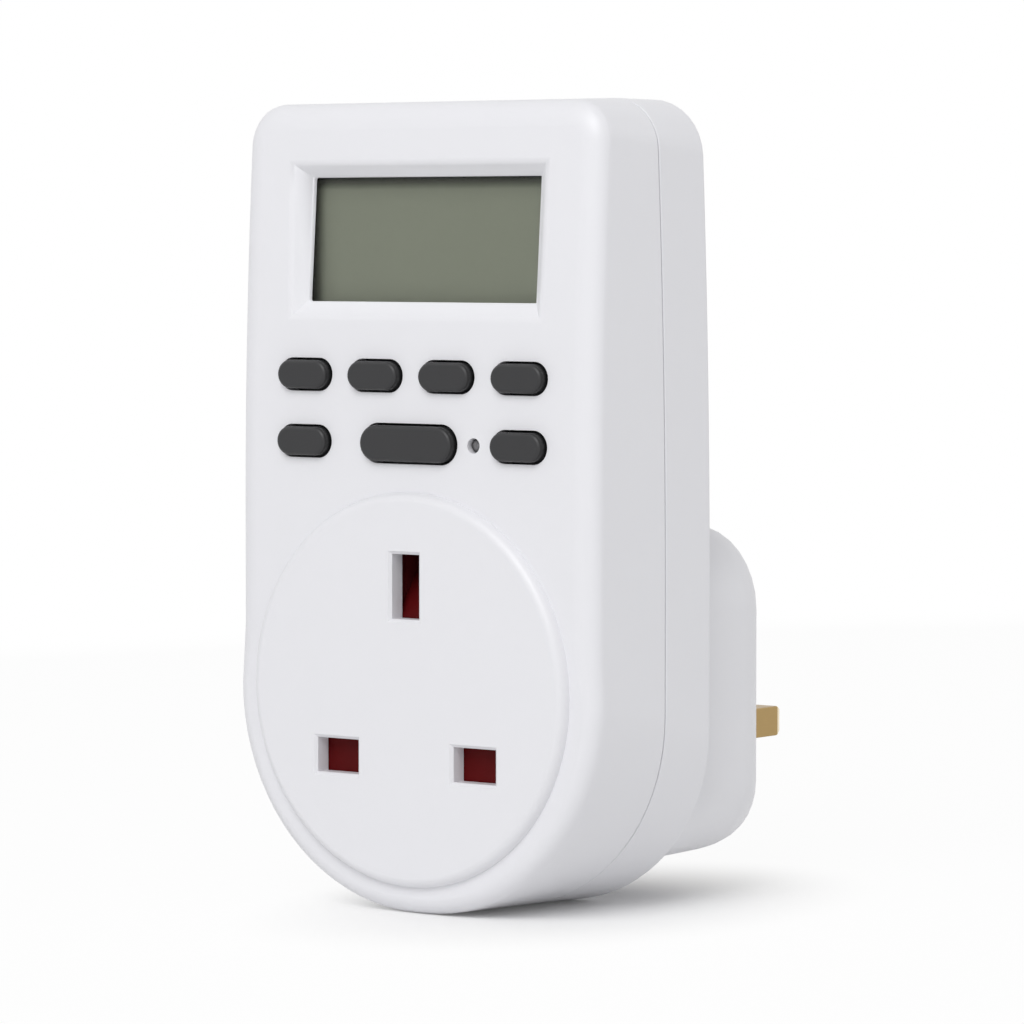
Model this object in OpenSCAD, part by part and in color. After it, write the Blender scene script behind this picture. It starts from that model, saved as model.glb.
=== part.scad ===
// Plug-in digital timer switch: a three-pin plug behind, a shuttered three-pin socket in front,
// and a display with seven keys above the socket. Millimetres, +Z up, +Y toward the wall.
// The origin is on the plug face, midway between the live and neutral pins.
// Depths (y) and heights (z) are measured from the middle of the live and neutral apertures
// on the socket face, and placed() moves each sub-part from there to the origin.

/* [Case] */
// Width of the case at its seam
case_w = 58.4; // [57:0.2:70]
// Height of the case, from its round lower end to its top
case_h = 104; // [102:1:125]
// Depth of the case, from the socket face to the plug face
case_depth = 46.2; // [46:0.2:55]
// Depth of the back of the body, from the socket face
back_d = 26.8; // [26.6:0.1:30]
// Depth of the seam between the two mouldings, from the socket face
seam_d = 16.4; // [15:0.1:18]
// Thickness of the moulded walls
wall = 2; // [1.6:0.1:2.3]
// Height of the live and neutral apertures above the lower end
base_rise = 19.8; // [19.6:0.2:24]
// Radius of the two top corners: front edge
top_r_front = 5.5; // [5:0.1:9]
// Radius of the two top corners: seam
top_r_seam = 6.4; // [5:0.1:9]
// Radius of the two top corners: back edge
top_r_back = 7.2; // [5:0.1:9]
// Half width of the flat at the lower end: front edge
base_flat_front = 1; // [0.6:0.1:2]
// Half width of the flat at the lower end: seam
base_flat_seam = 3.4; // [2:0.1:4]
// Half width of the flat at the lower end: back edge
base_flat_back = 5.8; // [4:0.1:7]
// Height at which the front begins to lean back
lean_z = 30; // [28:1:34]
// Radius of the curve by which the front leans back
lean_r = 730; // [600:10:1200]
// Height at which the seam and the back begin to lean forward
rear_lean_z = 20; // [18:1:26]
// Radius of the curve by which the seam and the back lean forward
rear_lean_r = 1000; // [900:10:1600]
// Taper of the front moulding on each side
draft = 0.3; // [0.1:0.05:0.4]
// Rounding of the front edge, measured across the face
edge_across = 3.4; // [2.5:0.1:4.2]
// Rounding of the front edge round the lower end
edge_across_base = 2.2; // [1.6:0.1:3]
// Rounding of the front edge, measured in depth
edge_deep = 2.2; // [1.8:0.1:3.2]
// Width of the groove that marks the seam
seam_groove = 0.1; // [0.05:0.05:0.3]
// Length of the tongue that centres the rear moulding in the front one
tongue = 2; // [1:0.1:3]

/* [Socket face] */
// Radius of the raised round boss
boss_r = 25.3; // [24.5:0.1:26]
// Height of the boss above the case front
boss_h = 1.4; // [1:0.1:1.8]
// Height of the boss centre above the live and neutral apertures
boss_z = 9; // [8:0.1:10]
// Rounding of the rim of the boss
boss_round = 1.3; // [0.6:0.1:1.6]
// Thickness of the wall between the socket face and the shutter
face_t = 2.5; // [2.2:0.1:3]
// Width of the live and neutral apertures
slot_w = 6.75; // [6.6:0.05:7.2]
// Height of the live and neutral apertures
slot_h = 4.48; // [4.3:0.02:4.8]
// Width of the earth aperture
earth_slot_w = 4.41; // [4.2:0.01:4.8]
// Height of the earth aperture
earth_slot_h = 8.31; // [8.2:0.01:8.8]
// Bevel round each aperture
slot_bevel = 0.4; // [0.2:0.1:0.6]

/* [Plug] */
// Distance of the live and neutral pins from the centre line
pin_x = 11.11; // [10.9:0.01:11.3]
// Height of the earth pin above the live and neutral pins
earth_rise = 22.22; // [22:0.01:22.4]
// Height of the plug pins above the matching apertures
pin_lift = 1.2; // [0.6:0.1:1.4]
// Width of the live and neutral pins
pin_w = 6.35; // [6.2:0.05:6.5]
// Thickness of the live and neutral pins
pin_h = 4; // [3.8:0.05:4.2]
// Length of the live and neutral pins
pin_l = 18.1; // [17:0.1:18.5]
// Width of the earth pin
earth_pin_w = 4; // [3.8:0.05:4.2]
// Height of the earth pin
earth_pin_h = 8; // [7.8:0.05:8.2]
// Length of the earth pin
earth_pin_l = 22.3; // [22:0.1:23]
// Bevels across the width and the height at the tips of the live and neutral pins
tip_bevel = [0.5, 0.5]; // [0.3:0.1:0.8]
// Length of those bevels
tip_bevel_l = 0.9; // [0.6:0.1:1.6]
// Bevels across the width and the height at the tip of the earth pin
earth_tip_bevel = [0.5, 1.5]; // [0.3:0.1:1.6]
// Length of those bevels
earth_tip_bevel_l = 3; // [1:0.1:4]
// Length of the insulating sleeves on the live and neutral pins
sleeve_l = 9.5; // [8:0.1:10]
// Thickness of the sleeves
sleeve_t = 0.5; // [0.4:0.05:0.7]
// Width of the plug block
plug_w = 50.8; // [50:0.2:52]
// Height of the plug block
plug_h = 43.2; // [42.8:0.2:47]
// Height of the middle of the plug block
plug_z = 7.7; // [7.7:0.1:8.4]
// Radius of the upper corners of the plug block
plug_r_top = 11.4; // [8:0.1:12]
// Radius of the lower corners of the plug block
plug_r_base = 9.2; // [8:0.1:12]
// Rounding of the edge of the plug face, measured in depth
plug_edge_deep = 6.8; // [4:0.1:8]
// Rounding of the edge of the plug face at each side
plug_edge_side = 4; // [3:0.1:5]
// Rounding of the edge of the plug face at the top
plug_edge_top = 1.8; // [1:0.1:2]
// Rounding of the edge of the plug face at the base
plug_edge_base = 2.2; // [1.5:0.1:4]
// Thickness of the wall behind the plug face
plug_wall = 2.5; // [2.2:0.1:2.8]

/* [Display] */
// Width of the display window
window_w = 36.8; // [30:0.2:37]
// Height of the display window
window_h = 16; // [12:0.5:16.5]
// Height of the middle of the window
window_z = 66.4; // [65:0.1:67]
// Depth of the middle of the window lip, from the case front there
window_sunk = 1.85; // [1.4:0.05:2]
// Backward tilt of the window in degrees
window_tilt = 4; // [2:0.5:4.5]
// Width of the bevel at each side of the window
bevel_side = 2.05; // [1.4:0.05:2.4]
// Width of the bevel above the window
bevel_top = 1.5; // [1.2:0.05:2.2]
// Width of the bevel below the window
bevel_bottom = 2.4; // [1.6:0.05:2.6]
// Thickness of the lip in front of the lens
window_lip = 0.5; // [0.4:0.05:0.6]
// Thickness of the clear lens
lens_t = 0.8; // [0.6:0.05:0.9]
// Depth of the front glass of the panel, from the socket face
panel_d = 6.5; // [6.5:0.1:7]
// Thickness of the display panel
panel_t = 1.8; // [1.4:0.1:2.2]

/* [Keys] */
// Width of the small keys
key_w = 8.35; // [7.5:0.05:9]
// Height of the small keys
key_h = 3.9; // [3.6:0.1:5]
// Width of the wide key
wide_key_w = 15.1; // [12:0.1:15.6]
// Height of the wide key
wide_key_h = 4.8; // [4.2:0.1:5.6]
// Spacing of the keys in the upper row
key_pitch = 11.57; // [11.4:0.01:11.8]
// Height of the upper row of keys
upper_row_z = 49; // [48.6:0.1:50]
// Height of the lower row of keys
lower_row_z = 40.4; // [40:0.1:41]
// Height of the keys above the case front
key_proud = 0.9; // [0.6:0.1:1.2]
// Travel of each key
key_travel = 0.8; // [0.5:0.1:1]
// Rounding of the front edge of each key
key_round = 0.6; // [0.3:0.1:0.8]
// Diameter of the hole for the status lamp
lamp_d = 1.95; // [1.6:0.05:2.4]
// Distance of the status lamp from the centre line
lamp_x = 10.1; // [10:0.1:10.4]

/* [Shutter] */
// Travel of the shutter from closed to open
shutter_travel = 8.6; // [8.4:0.1:8.8]
// Thickness of the shutter plate
shutter_t = 1.4; // [1.1:0.1:1.5]
// Number of turns of each return spring
spring_turns = 5; // [4:0.5:6]
// Radius of the return springs, to the middle of the wire
spring_r = 1.3; // [1.1:0.05:1.4]
// Radius of the spring wire
spring_wire = 0.22; // [0.18:0.01:0.25]

/* [Boards and metal] */
// Depth of the front of the display board, from the socket face
display_board_d = 9.4; // [9.4:0.1:9.8]
// Thickness of the display board
display_board_t = 1.2; // [1:0.1:1.4]
// Depth of the front of the power board, from the socket face
power_board_d = 21.4; // [21.2:0.1:21.6]
// Thickness of the power board
power_board_t = 1.6; // [1.4:0.1:1.6]
// Thickness of the connecting straps
strap_t = 1; // [0.8:0.1:1.1]
// Thickness of the contact leaves
leaf_t = 0.6; // [0.5:0.05:0.7]
// Thickness of the pin retainer plate
retainer_t = 2; // [1.6:0.1:2.2]

/* [Clearances] */
// Gap round each key in its hole
key_gap = 0.2; // [0.15:0.05:0.35]
// Gap between the flange of a key and the inside of the case
key_seat_gap = 0.3; // [0.2:0.05:0.4]
// Gap in front of and beside the shutter
shutter_gap = 0.15; // [0.1:0.05:0.25]
// Gap behind the shutter
shutter_back_gap = 0.25; // [0.15:0.05:0.35]
// Gap round the plug pins in their holes
pin_gap = 0.05; // [0.03:0.01:0.08]
// Gap between the two mouldings at the seam
seam_gap = 0.2; // [0.05:0.05:0.25]
// Gap round plates that drop into a pocket
fit_gap = 0.1; // [0.05:0.05:0.2]
// Radial gap of a screw in its pilot hole
thread_gap = 0.05; // [0.03:0.01:0.08]

/* [Hidden] */
$fn = 48;

// Colours
case_white = [0.9, 0.9, 0.91];
case_side = [0.84, 0.84, 0.85];
key_grey = [0.27, 0.27, 0.28];
panel_green = [0.47, 0.5, 0.43];
shutter_red = [0.55, 0.1, 0.1];
brass = [0.71, 0.59, 0.37];
copper = [0.72, 0.45, 0.3];
steel = [0.7, 0.7, 0.72];
black = [0.08, 0.08, 0.08];
board_green = [0.1, 0.35, 0.2];
rubber_grey = [0.35, 0.35, 0.36];
carrier_red = [0.4, 0.1, 0.1];
retainer_cream = [0.85, 0.83, 0.76];

// Main planes and lines
eps = 0.5;
half_w = case_w / 2;
base_z = -base_rise;
top_z = base_z + case_h;
inner_w = half_w - wall;
front_d = boss_h;
front_inner = front_d + wall;
plug_top = plug_z + plug_h / 2;
plug_base = plug_z - plug_h / 2;
plug_inner = case_depth - plug_wall;
plug_crease = 15;
earth_z = earth_rise;
pin_z = pin_lift;
earth_pin_z = pin_lift + earth_rise;

// Shutter
shutter_d = face_t + shutter_gap;
shutter_back = shutter_d + shutter_t;
shutter_half_w = pin_x + slot_w / 2 + 1.9;
shutter_base = -slot_h / 2 - 1.36;
window_play = 0.35;
shutter_top = earth_z - earth_slot_h / 2 + 0.3;
ramp_half_w = earth_slot_w / 2 + 0.8;
ramp_top = shutter_top + shutter_travel;
ramp_deep = 7;
ramp_slot_base = shutter_top - shutter_travel - 2.2;
spring_x = 4.8;
spring_foot = 1;
spring_y = shutter_back + 1;
spring_seat_z = base_z + wall + 1.2;

// Contact carrier
carrier_d = shutter_back + shutter_back_gap;
carrier_plate_t = 2;
carrier_plate = carrier_d + carrier_plate_t;
carrier_half_w = shutter_half_w + 2;
carrier_wall = 1.2;
carrier_top = ramp_top + 2.4;
carrier_base = shutter_base - 2.4;
contact_half_w = 3;
contact_l = 12.4;
contact_back = carrier_plate + contact_l + 1.7;
contact_room = 1.2;
cell_half_w = contact_half_w + contact_room;
cell_half_h = 4.2;
earth_wall_d = shutter_d + ramp_deep + 2.1;
earth_cell_d = earth_wall_d + 0.8;
earth_back = earth_cell_d + contact_l - 2.2;
earth_half_h = 3.65;
lug_x = carrier_half_w + 2.6;
lug_z = 12;
lug_d = carrier_plate + 1.7;
lug_t = 2;

// Pins
flange = 0.5;
flange_t = 1.5;
flange_d = plug_inner - flange_t;
retainer_d = flange_d - retainer_t;
strap_end = retainer_d - strap_t;
tail_r = 1.8;
rivet_r = 2.7;
rivet_t = 0.8;
retainer_top = plug_top - wall - 0.5;

// Fasteners
pilot_r = 1;
small_screw_l = 3.6;
small_head_r = 2.1;
small_head_t = 1.4;
small_post_r = 2.2;
case_screw_r = 1.2;
case_screw_l = 14;
case_head_r = 2.5;
case_head_t = 1.8;
head_room = 0.1;
case_sink = 4;
case_post_r = 2.4;
corner_screw_x = half_w - 5.2;
corner_screw_z = top_z - 6.2;
base_screw_z = base_z + 3.8;
CASE_SCREWS = [[-corner_screw_x, corner_screw_z], [corner_screw_x, corner_screw_z], [0, base_screw_z]];

// Boards
board_half_w = inner_w - 1;
display_board_base = 31.6;
display_board_neck = corner_screw_z - case_post_r - 1.3;
display_board_top = top_z - wall - 2.2;
display_neck_w = corner_screw_x - case_post_r - 1.4;
display_post_x = half_w - 5;
DISPLAY_POSTS = [for (x = [-display_post_x, display_post_x], z = [34.2, 66]) [x, z]];
power_board_base = 32.4;
power_board_back = power_board_d + power_board_t;
// The power board ends below the corner screws, or where the leaning back would meet it
back_room = back_d - wall - power_board_back - 0.3;
power_board_top = min(corner_screw_z - 4, rear_lean_z + sqrt(2 * rear_lean_r * back_room));
power_post_x = half_w - 7.2;
POWER_POSTS = [for (x = [-power_post_x, power_post_x], z = [power_board_base + 2.4, power_board_top - 10])
    [x, z]];
RETAINER_POSTS = [for (x = [-8, 8]) [x, pin_z + 12.8]];
CARRIER_POSTS = [for (x = [-lug_x, lug_x]) [x, lug_z]];
display_board_back = display_board_d + display_board_t;

// Display
window_d = front_d + lean(window_z) + window_sunk;
panel_half_w = window_w / 2 + 2.05;
panel_base = window_z - window_h / 2 - 2.4;
panel_top = window_z + window_h / 2 + 2.6;
holder_t = 1;
panel_back = panel_d + panel_t;
lens_margin = 1.9;

// Keys
key_flange = 1;
key_flange_t = 0.8;
mat_t = 1;
mat_d = display_board_d - mat_t;
mat_pad = 1;
key_rear = mat_d - mat_pad - key_travel - 0.2;
UPPER_X = [-1.5 * key_pitch, -0.5 * key_pitch, 0.5 * key_pitch, 1.5 * key_pitch];
KEYS = concat([for (x = UPPER_X) [x, upper_row_z, key_w, key_h]],
    [[-1.5 * key_pitch, lower_row_z, key_w, key_h], [-0.2, lower_row_z, wide_key_w, wide_key_h],
    [1.5 * key_pitch, lower_row_z, key_w, key_h]]);

// Relay, the part that both live straps reach
relay_base = 37;
relay_l = 8.8;

// ---- Helpers ----

// Moves a sub-part from the socket face to the origin on the plug face
module placed() translate([0, -case_depth, -pin_lift]) children();

// A profile in x and z, made solid between two depths
module slab(y0, y1) translate([0, y1, 0]) rotate([90, 0, 0]) linear_extrude(y1 - y0) children();

// A profile in y and z, made solid between two values of x
module rib(x0, x1) translate([x0, 0, 0]) rotate([90, 0, 90]) linear_extrude(x1 - x0) children();

// A round bar along y
module bar(at, y0, y1, r) translate([at[0], y1, at[1]]) rotate([90, 0, 0]) cylinder(h = y1 - y0, r = r);

// A block between two corners
module block(lo, hi) translate(lo) cube(hi - lo);

// A rectangle between two corners
module panel(lo, hi) translate(lo) square(hi - lo);

// A rectangle round the origin
module plate(w, h) square([w, h], center = true);

// A rectangle with round ends
module pill(w, h) {
    plate(w - h, h);
    for (s = [-1, 1]) translate([s * (w - h) / 2, 0]) circle(d = h);
}

// A rectangle with round corners
module soft_box(w, h, r) {
    plate(w - 2 * r, h);
    plate(w, h - 2 * r);
    for (x = [-1, 1], z = [-1, 1]) translate([x * (w / 2 - r), z * (h / 2 - r)]) circle(r);
}

// Half of the section of a rounded button or boss: its front edge is a quarter ellipse
function soft_edge(half, depth, across, deep) = concat([[0, 0]],
    [for (i = [0:5]) [half - across * (1 - sin(18 * i)), deep * (1 - cos(18 * i))]],
    [[half, depth], [0, depth]]);

// A pill-shaped button, its front at y = 0
module soft_pill(w, h, depth, r) {
    section = soft_edge(h / 2, depth, r, r);
    for (s = [-1, 1]) translate([s * (w - h) / 2, 0, 0]) rotate([-90, 0, 0]) rotate_extrude() polygon(section);
    rotate([0, -90, 0]) linear_extrude(w - h, center = true) for (m = [0, 1]) mirror([m, 0]) polygon(section);
}

// A rectangular cutter with a bevel at its front, from y = 0 to depth
module bevelled_slot(w, h, depth, bevel) {
    slab(-eps, depth + eps) plate(w, h);
    hull() {
        slab(-0.01, 0) plate(w + 2 * bevel, h + 2 * bevel);
        slab(bevel, bevel + 0.01) plate(w, h);
    }
}

// ---- The case outline, which both mouldings and their cavities follow ----

// How far the front leans back at a height
function lean(z) = pow(max(0, z - lean_z), 2) / (2 * lean_r);

// How far the seam and the back lean forward at a height, as a negative depth
function rear_lean(z) = -pow(max(0, z - rear_lean_z), 2) / (2 * rear_lean_r);

// The outline at three depths: half width of the lower flat, radius of the top corners, and
// whether it leans with the front
FRONT = [base_flat_front, top_r_front, true];
SEAM = [base_flat_seam, top_r_seam, false];
BACK = [base_flat_back, top_r_back, false];

// Part of an ellipse with the radii r = [across, up]
function arc(at, r, a0, a1, n) = [for (i = [0:n]) let (a = a0 + (a1 - a0) * i / n)
    at + [r[0] * cos(a), r[1] * sin(a)]];

// Right half of the outline from the top to the base, moved in by e, and by e_base round the lower end
function half_outline(shape, e, e_base) = let (
    top_r = shape[1], side_top = top_z - top_r, base_r = half_w - shape[0], base_mid = base_z + base_r) concat(
    arc([half_w - top_r, side_top], [top_r - e, top_r - e], 90, 0, 8),
    [for (i = [1:10]) [half_w - e, side_top + (rear_lean_z - side_top) * i / 10]],
    [[half_w - e, base_mid + 8]],
    arc([shape[0], base_mid], [base_r - e_base, base_r - e_base], 0, -90, 20));

// A closed ring of points: the right half, then its mirror image
function closed(half) = concat(half, [for (i = [len(half) - 1:-1:0]) [-half[i][0], half[i][1], half[i][2]]]);

// A ring of the case at a depth
function ring(shape, d, e, e_base) = closed([for (p = half_outline(shape, e, e_base))
    [p[0], d + (shape[2] ? lean(p[1]) : rear_lean(p[1])), p[1]]]);

// A ring of the plug block, moved in by e = [side, top, base]
function plug_ring(d, e) = let (
    top_r = [plug_r_top - e[0], plug_r_top - e[1]],
    base_r = [plug_r_base - e[0], plug_r_base - e[2]],
    half = concat(arc([plug_w / 2 - plug_r_top, plug_top - plug_r_top], top_r, 90, 0, 8),
        arc([plug_w / 2 - plug_r_base, plug_base + plug_r_base], base_r, 0, -90, 8)))
    closed([for (p = half) [p[0], d, p[1]]]);

// A solid skinned over rings, with flat strips across its front and back
module skin(rings) {
    n = len(rings[0]);
    m = n / 2;
    last = (len(rings) - 1) * n;
    sides = [for (j = [0:len(rings) - 2], i = [0:n - 1]) let (a = j * n + i, b = j * n + (i + 1) % n) each
        [[a, a + n, b + n], [a, b + n, b]]];
    front = [for (i = [0:m - 2]) [i, i + 1, n - 2 - i, n - 1 - i]];
    back = [for (i = [0:m - 2]) [last + n - 1 - i, last + n - 2 - i, last + i + 1, last + i]];
    polyhedron([for (r = rings) each r], concat(sides, front, back), convexity = 10);
}

// Outside of the front moulding: a rounded front edge, drafted sides and half of the seam groove
module front_skin() skin(concat(
    [for (i = [0:5]) let (a = 18 * i, in = 1 - sin(a)) ring(FRONT, front_d + edge_deep * (1 - cos(a)),
        draft + edge_across * in, edge_across_base * in)],
    [ring(SEAM, seam_d - seam_groove, 0, 0), ring(SEAM, seam_d, seam_groove, seam_groove)]));

// Inside of the front moulding, with the rebate for the tongue
module front_cavity() {
    skin([ring(FRONT, front_inner, wall + 1.2, wall + 1.2),
        ring(FRONT, front_inner + 1.2, wall + draft, wall + draft),
        ring(SEAM, seam_d + eps, wall, wall)]);
    skin([for (d = [seam_d - tongue, seam_d + eps]) ring(SEAM, d, wall / 2, wall / 2)]);
}

// Outside of the rear moulding's body, with its tongue
module rear_skin() {
    start = seam_d + seam_gap;
    groove = ring(SEAM, start, seam_groove, seam_groove);
    side = ring(SEAM, start + seam_groove, 0, 0);
    edge = [for (i = [0:3]) let (a = 30 * i) ring(BACK, back_d - 1 + sin(a), 1 - cos(a), 1 - cos(a))];
    skin(concat([groove, side], edge));
    tongue_in = wall / 2 + fit_gap;
    skin([for (d = [seam_d - tongue + fit_gap, start + 1]) ring(SEAM, d, tongue_in, tongue_in)]);
}

// Inside of the rear moulding's body
module rear_cavity() skin([ring(SEAM, seam_d - tongue - eps, wall, wall),
    ring(BACK, back_d - wall - 0.8, wall, wall),
    ring(BACK, back_d - wall, wall + 0.8, wall + 0.8)]);

// Outside of the plug block, past the plug face, where a flat cut ends it. The rounding of its edge
// starts at a crease, so the first plug_crease degrees of the quarter ellipse are left out
module plug_skin() {
    edge = [plug_edge_side, plug_edge_top, plug_edge_base];
    low = sin(plug_crease);
    root = plug_ring(back_d - wall / 2, -draft * [1, 1, 1]);
    round = [for (i = [0:6]) let (a = plug_crease + (90 - plug_crease) * i / 6)
        plug_ring(case_depth - plug_edge_deep * (1 - sin(a)) / (1 - low),
            edge * (1 - cos(a) / cos(plug_crease)))];
    skin(concat([root], round, [plug_ring(case_depth + eps, edge)]));
}

// Inside of the plug block: depths and wall thicknesses
module plug_cavity() {
    steps = [[back_d - wall - eps, wall], [plug_inner - 2, wall], [plug_inner, wall + 1]];
    skin([for (p = steps) plug_ring(p[0], p[1] * [1, 1, 1])]);
}

// ---- Fasteners and their posts ----

// A screw along y: its head begins at y = head and its shank points along way (+1 or -1)
module screw(at, head, way, shank_r, shank_l, head_r, head_t) {
    seat = head + way * head_t;
    tip = seat + way * shank_l;
    bar(at, min(head, seat), max(head, seat), head_r);
    bar(at, min(seat, tip), max(seat, tip), shank_r);
}

// A pilot hole for a small screw whose head seats at depth seat
module small_pilot(at, seat, way) {
    tip = seat + way * (small_screw_l + 0.2);
    bar(at, min(seat, tip), max(seat, tip), pilot_r + thread_gap);
}

module small_screw(at, seat, way) screw(at, seat - way * small_head_t, way, pilot_r, small_screw_l,
    small_head_r, small_head_t);

// Depth at which the head of each case screw seats
function screw_seat(at) = back_d + rear_lean(at[1]) - case_sink;

// ---- Case ----

// Moves into the plane of the window: y = 0 at the front of the lip
module at_window() translate([0, window_d, window_z]) rotate([-window_tilt, 0, 0]) children();

// The funnel from the case front down to the window lip
module window_bevel() {
    reach = 1.6;
    hull() {
        slab(-0.01, 0) plate(window_w, window_h);
        slab(-reach * window_sunk - 0.01, -reach * window_sunk) panel(
            [-window_w / 2 - reach * bevel_side, -window_h / 2 - reach * bevel_bottom],
            [window_w / 2 + reach * bevel_side, window_h / 2 + reach * bevel_top]);
    }
}

// The rim inside the case that carries the lens
module window_rim() slab(-0.7, window_lip + lens_t) square([window_w + 2 * lens_margin + 2.6,
    window_h + 2 * lens_margin + 2.2], center = true);

module window_cut() {
    window_bevel();
    slab(-eps, window_lip + eps) plate(window_w, window_h);
    slab(window_lip, window_lip + lens_t + eps) square([window_w + 2 * lens_margin + 2 * fit_gap,
        window_h + 2 * lens_margin + 2 * fit_gap], center = true);
}

// The round boss with its soft rim
module socket_boss() translate([0, 0, boss_z]) rotate([-90, 0, 0])
    rotate_extrude($fn = 96) polygon(soft_edge(boss_r, front_inner, boss_round, boss_h));

// The shallow track behind the socket face in which the shutter slides
module shutter_track() {
    slab(face_t, carrier_d) {
        panel([-shutter_half_w - shutter_gap, shutter_base - shutter_travel - shutter_gap],
            [shutter_half_w + shutter_gap, shutter_top + shutter_gap]);
        panel([-ramp_half_w - shutter_gap, shutter_top], [ramp_half_w + shutter_gap, ramp_top + 0.5]);
    }
}

module apertures() {
    for (s = [-1, 1]) translate([s * pin_x, 0, 0]) bevelled_slot(slot_w, slot_h, face_t, slot_bevel);
    translate([0, 0, earth_z]) bevelled_slot(earth_slot_w, earth_slot_h, face_t, slot_bevel);
}

// The ledge under each return spring
module spring_ledges() for (s = [-1, 1]) rib(s * spring_x - 1.9, s * spring_x + 1.9)
    panel([front_inner - 0.2, base_z + wall / 2], [spring_y + spring_r + 0.6, spring_seat_z]);

module front_case() color(case_white) placed() difference() {
    union() {
        difference() {
            front_skin();
            front_cavity();
        }
        socket_boss();
        at_window() window_rim();
        spring_ledges();
        for (p = CASE_SCREWS)
            bar(p, front_inner - 0.5 + lean(p[1]), seam_d + rear_lean(p[1]) - 0.1, case_post_r);
        for (p = DISPLAY_POSTS) bar(p, front_inner - 0.5 + lean(p[1]), display_board_d, small_post_r);
        for (p = CARRIER_POSTS) bar(p, front_inner - 0.5, lug_d, small_post_r);
    }
    shutter_track();
    apertures();
    at_window() window_cut();
    for (k = KEYS) translate([k[0], 0, k[1]]) slab(0, front_inner + 1)
        pill(k[2] + 2 * key_gap, k[3] + 2 * key_gap);
    bar([lamp_x, lower_row_z], 0, front_inner + 1, lamp_d / 2);
    for (p = CASE_SCREWS) bar(p, screw_seat(p) - case_screw_l - 0.4, seam_d + 1, case_screw_r + thread_gap);
    for (p = DISPLAY_POSTS) small_pilot(p, display_board_back, -1);
    for (p = CARRIER_POSTS) small_pilot(p, lug_d + lug_t, -1);
}

module rear_case() color(case_side) placed() difference() {
    union() {
        difference() {
            union() {
                rear_skin();
                plug_skin();
            }
            rear_cavity();
            plug_cavity();
        }
        for (p = CASE_SCREWS) {
            bar(p, screw_seat(p) - 1.2, back_d + rear_lean(p[1]) - wall / 2, case_head_r + head_room + 1);
            bar(p, seam_d + seam_gap + rear_lean(p[1]), screw_seat(p) - 1, case_post_r);
        }
        for (p = POWER_POSTS)
            bar(p, power_board_back, back_d - wall / 2 + rear_lean(p[1]), small_post_r + 0.6);
        for (p = RETAINER_POSTS) bar(p, flange_d, plug_inner + 0.5, small_post_r + 0.4);
    }
    block([-half_w, case_depth, plug_base - 5], [half_w, case_depth + 2, plug_top + 5]);
    for (p = CASE_SCREWS) {
        bar(p, screw_seat(p), back_d + 1, case_head_r + head_room);
        bar(p, screw_seat(p) - case_screw_l, screw_seat(p) + eps, case_screw_r + 0.2);
        bar(p, screw_seat(p) - case_screw_l, seam_d + seam_gap + rear_lean(p[1]), case_post_r + fit_gap);
    }
    for (p = POWER_POSTS) small_pilot(p, power_board_d, 1);
    for (p = RETAINER_POSTS) small_pilot(p, retainer_d, 1);
    for (s = [-1, 1]) translate([s * pin_x, 0, pin_z]) slab(flange_d, case_depth + 1)
        plate(pin_w + 2 * pin_gap, pin_h + 2 * pin_gap);
    translate([0, 0, earth_pin_z]) {
        slab(flange_d, case_depth + 1) plate(earth_pin_w + 2 * pin_gap, earth_pin_h + 2 * pin_gap);
        // The way in for the flange, along the upper wall
        slab(back_d - wall - eps, plug_inner)
            plate(earth_pin_w + 2 * flange + 2 * fit_gap, earth_pin_h + 2 * flange + 2 * fit_gap);
    }
}

module case_screws() color(steel) placed() for (p = CASE_SCREWS)
    screw(p, screw_seat(p) + case_head_t, -1, case_screw_r, case_screw_l, case_head_r, case_head_t);

module small_screws() color(steel) placed() {
    for (p = DISPLAY_POSTS) small_screw(p, display_board_back, -1);
    for (p = CARRIER_POSTS) small_screw(p, lug_d + lug_t, -1);
    for (p = POWER_POSTS) small_screw(p, power_board_d, 1);
    for (p = RETAINER_POSTS) small_screw(p, retainer_d, 1);
}

// ---- Display ----

module display_lens() color([0.8, 0.85, 0.85, 0.4]) placed() at_window()
    slab(window_lip, window_lip + lens_t) plate(window_w + 2 * lens_margin, window_h + 2 * lens_margin);

// Two glasses: the rear one stands out below the front one, where the contacts are
module lcd_panel() color(panel_green) placed() {
    glass = panel_t / 2;
    slab(panel_d, panel_d + glass) panel([-panel_half_w, panel_base + 1.8], [panel_half_w, panel_top]);
    slab(panel_d + glass, panel_back) panel([-panel_half_w, panel_base], [panel_half_w, panel_top]);
}

module lcd_holder() color(black) placed() slab(panel_d, display_board_d) difference() {
    room = fit_gap + holder_t;
    panel([-panel_half_w - room, panel_base - room], [panel_half_w + room, panel_top + room]);
    panel([-panel_half_w - fit_gap, panel_base - fit_gap], [panel_half_w + fit_gap, panel_top + fit_gap]);
}

module zebra_strips() color(rubber_grey) placed() slab(panel_back, display_board_d)
    for (z = [panel_base + 0.4, panel_top - 2.4]) panel([-panel_half_w + 2, z], [panel_half_w - 2, z + 2]);

module display_board() color(board_green) placed() slab(display_board_d, display_board_back) difference() {
    union() {
        panel([-board_half_w, display_board_base], [board_half_w, display_board_neck]);
        panel([-display_neck_w, display_board_base], [display_neck_w, display_board_top]);
    }
    for (p = DISPLAY_POSTS) translate(p) circle(pilot_r + 0.15);
}

module controller_chip() color(black) placed() {
    slab(display_board_back, display_board_back + 1.6) translate([0, 60]) square(12, center = true);
}

module crystal() color(steel) placed() translate([10, display_board_back + 1, 56]) cylinder(h = 6, r = 1);

module backup_cell() color(steel) placed() bar([-14, 48], display_board_back, display_board_back + 5.4, 5.75);

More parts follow.
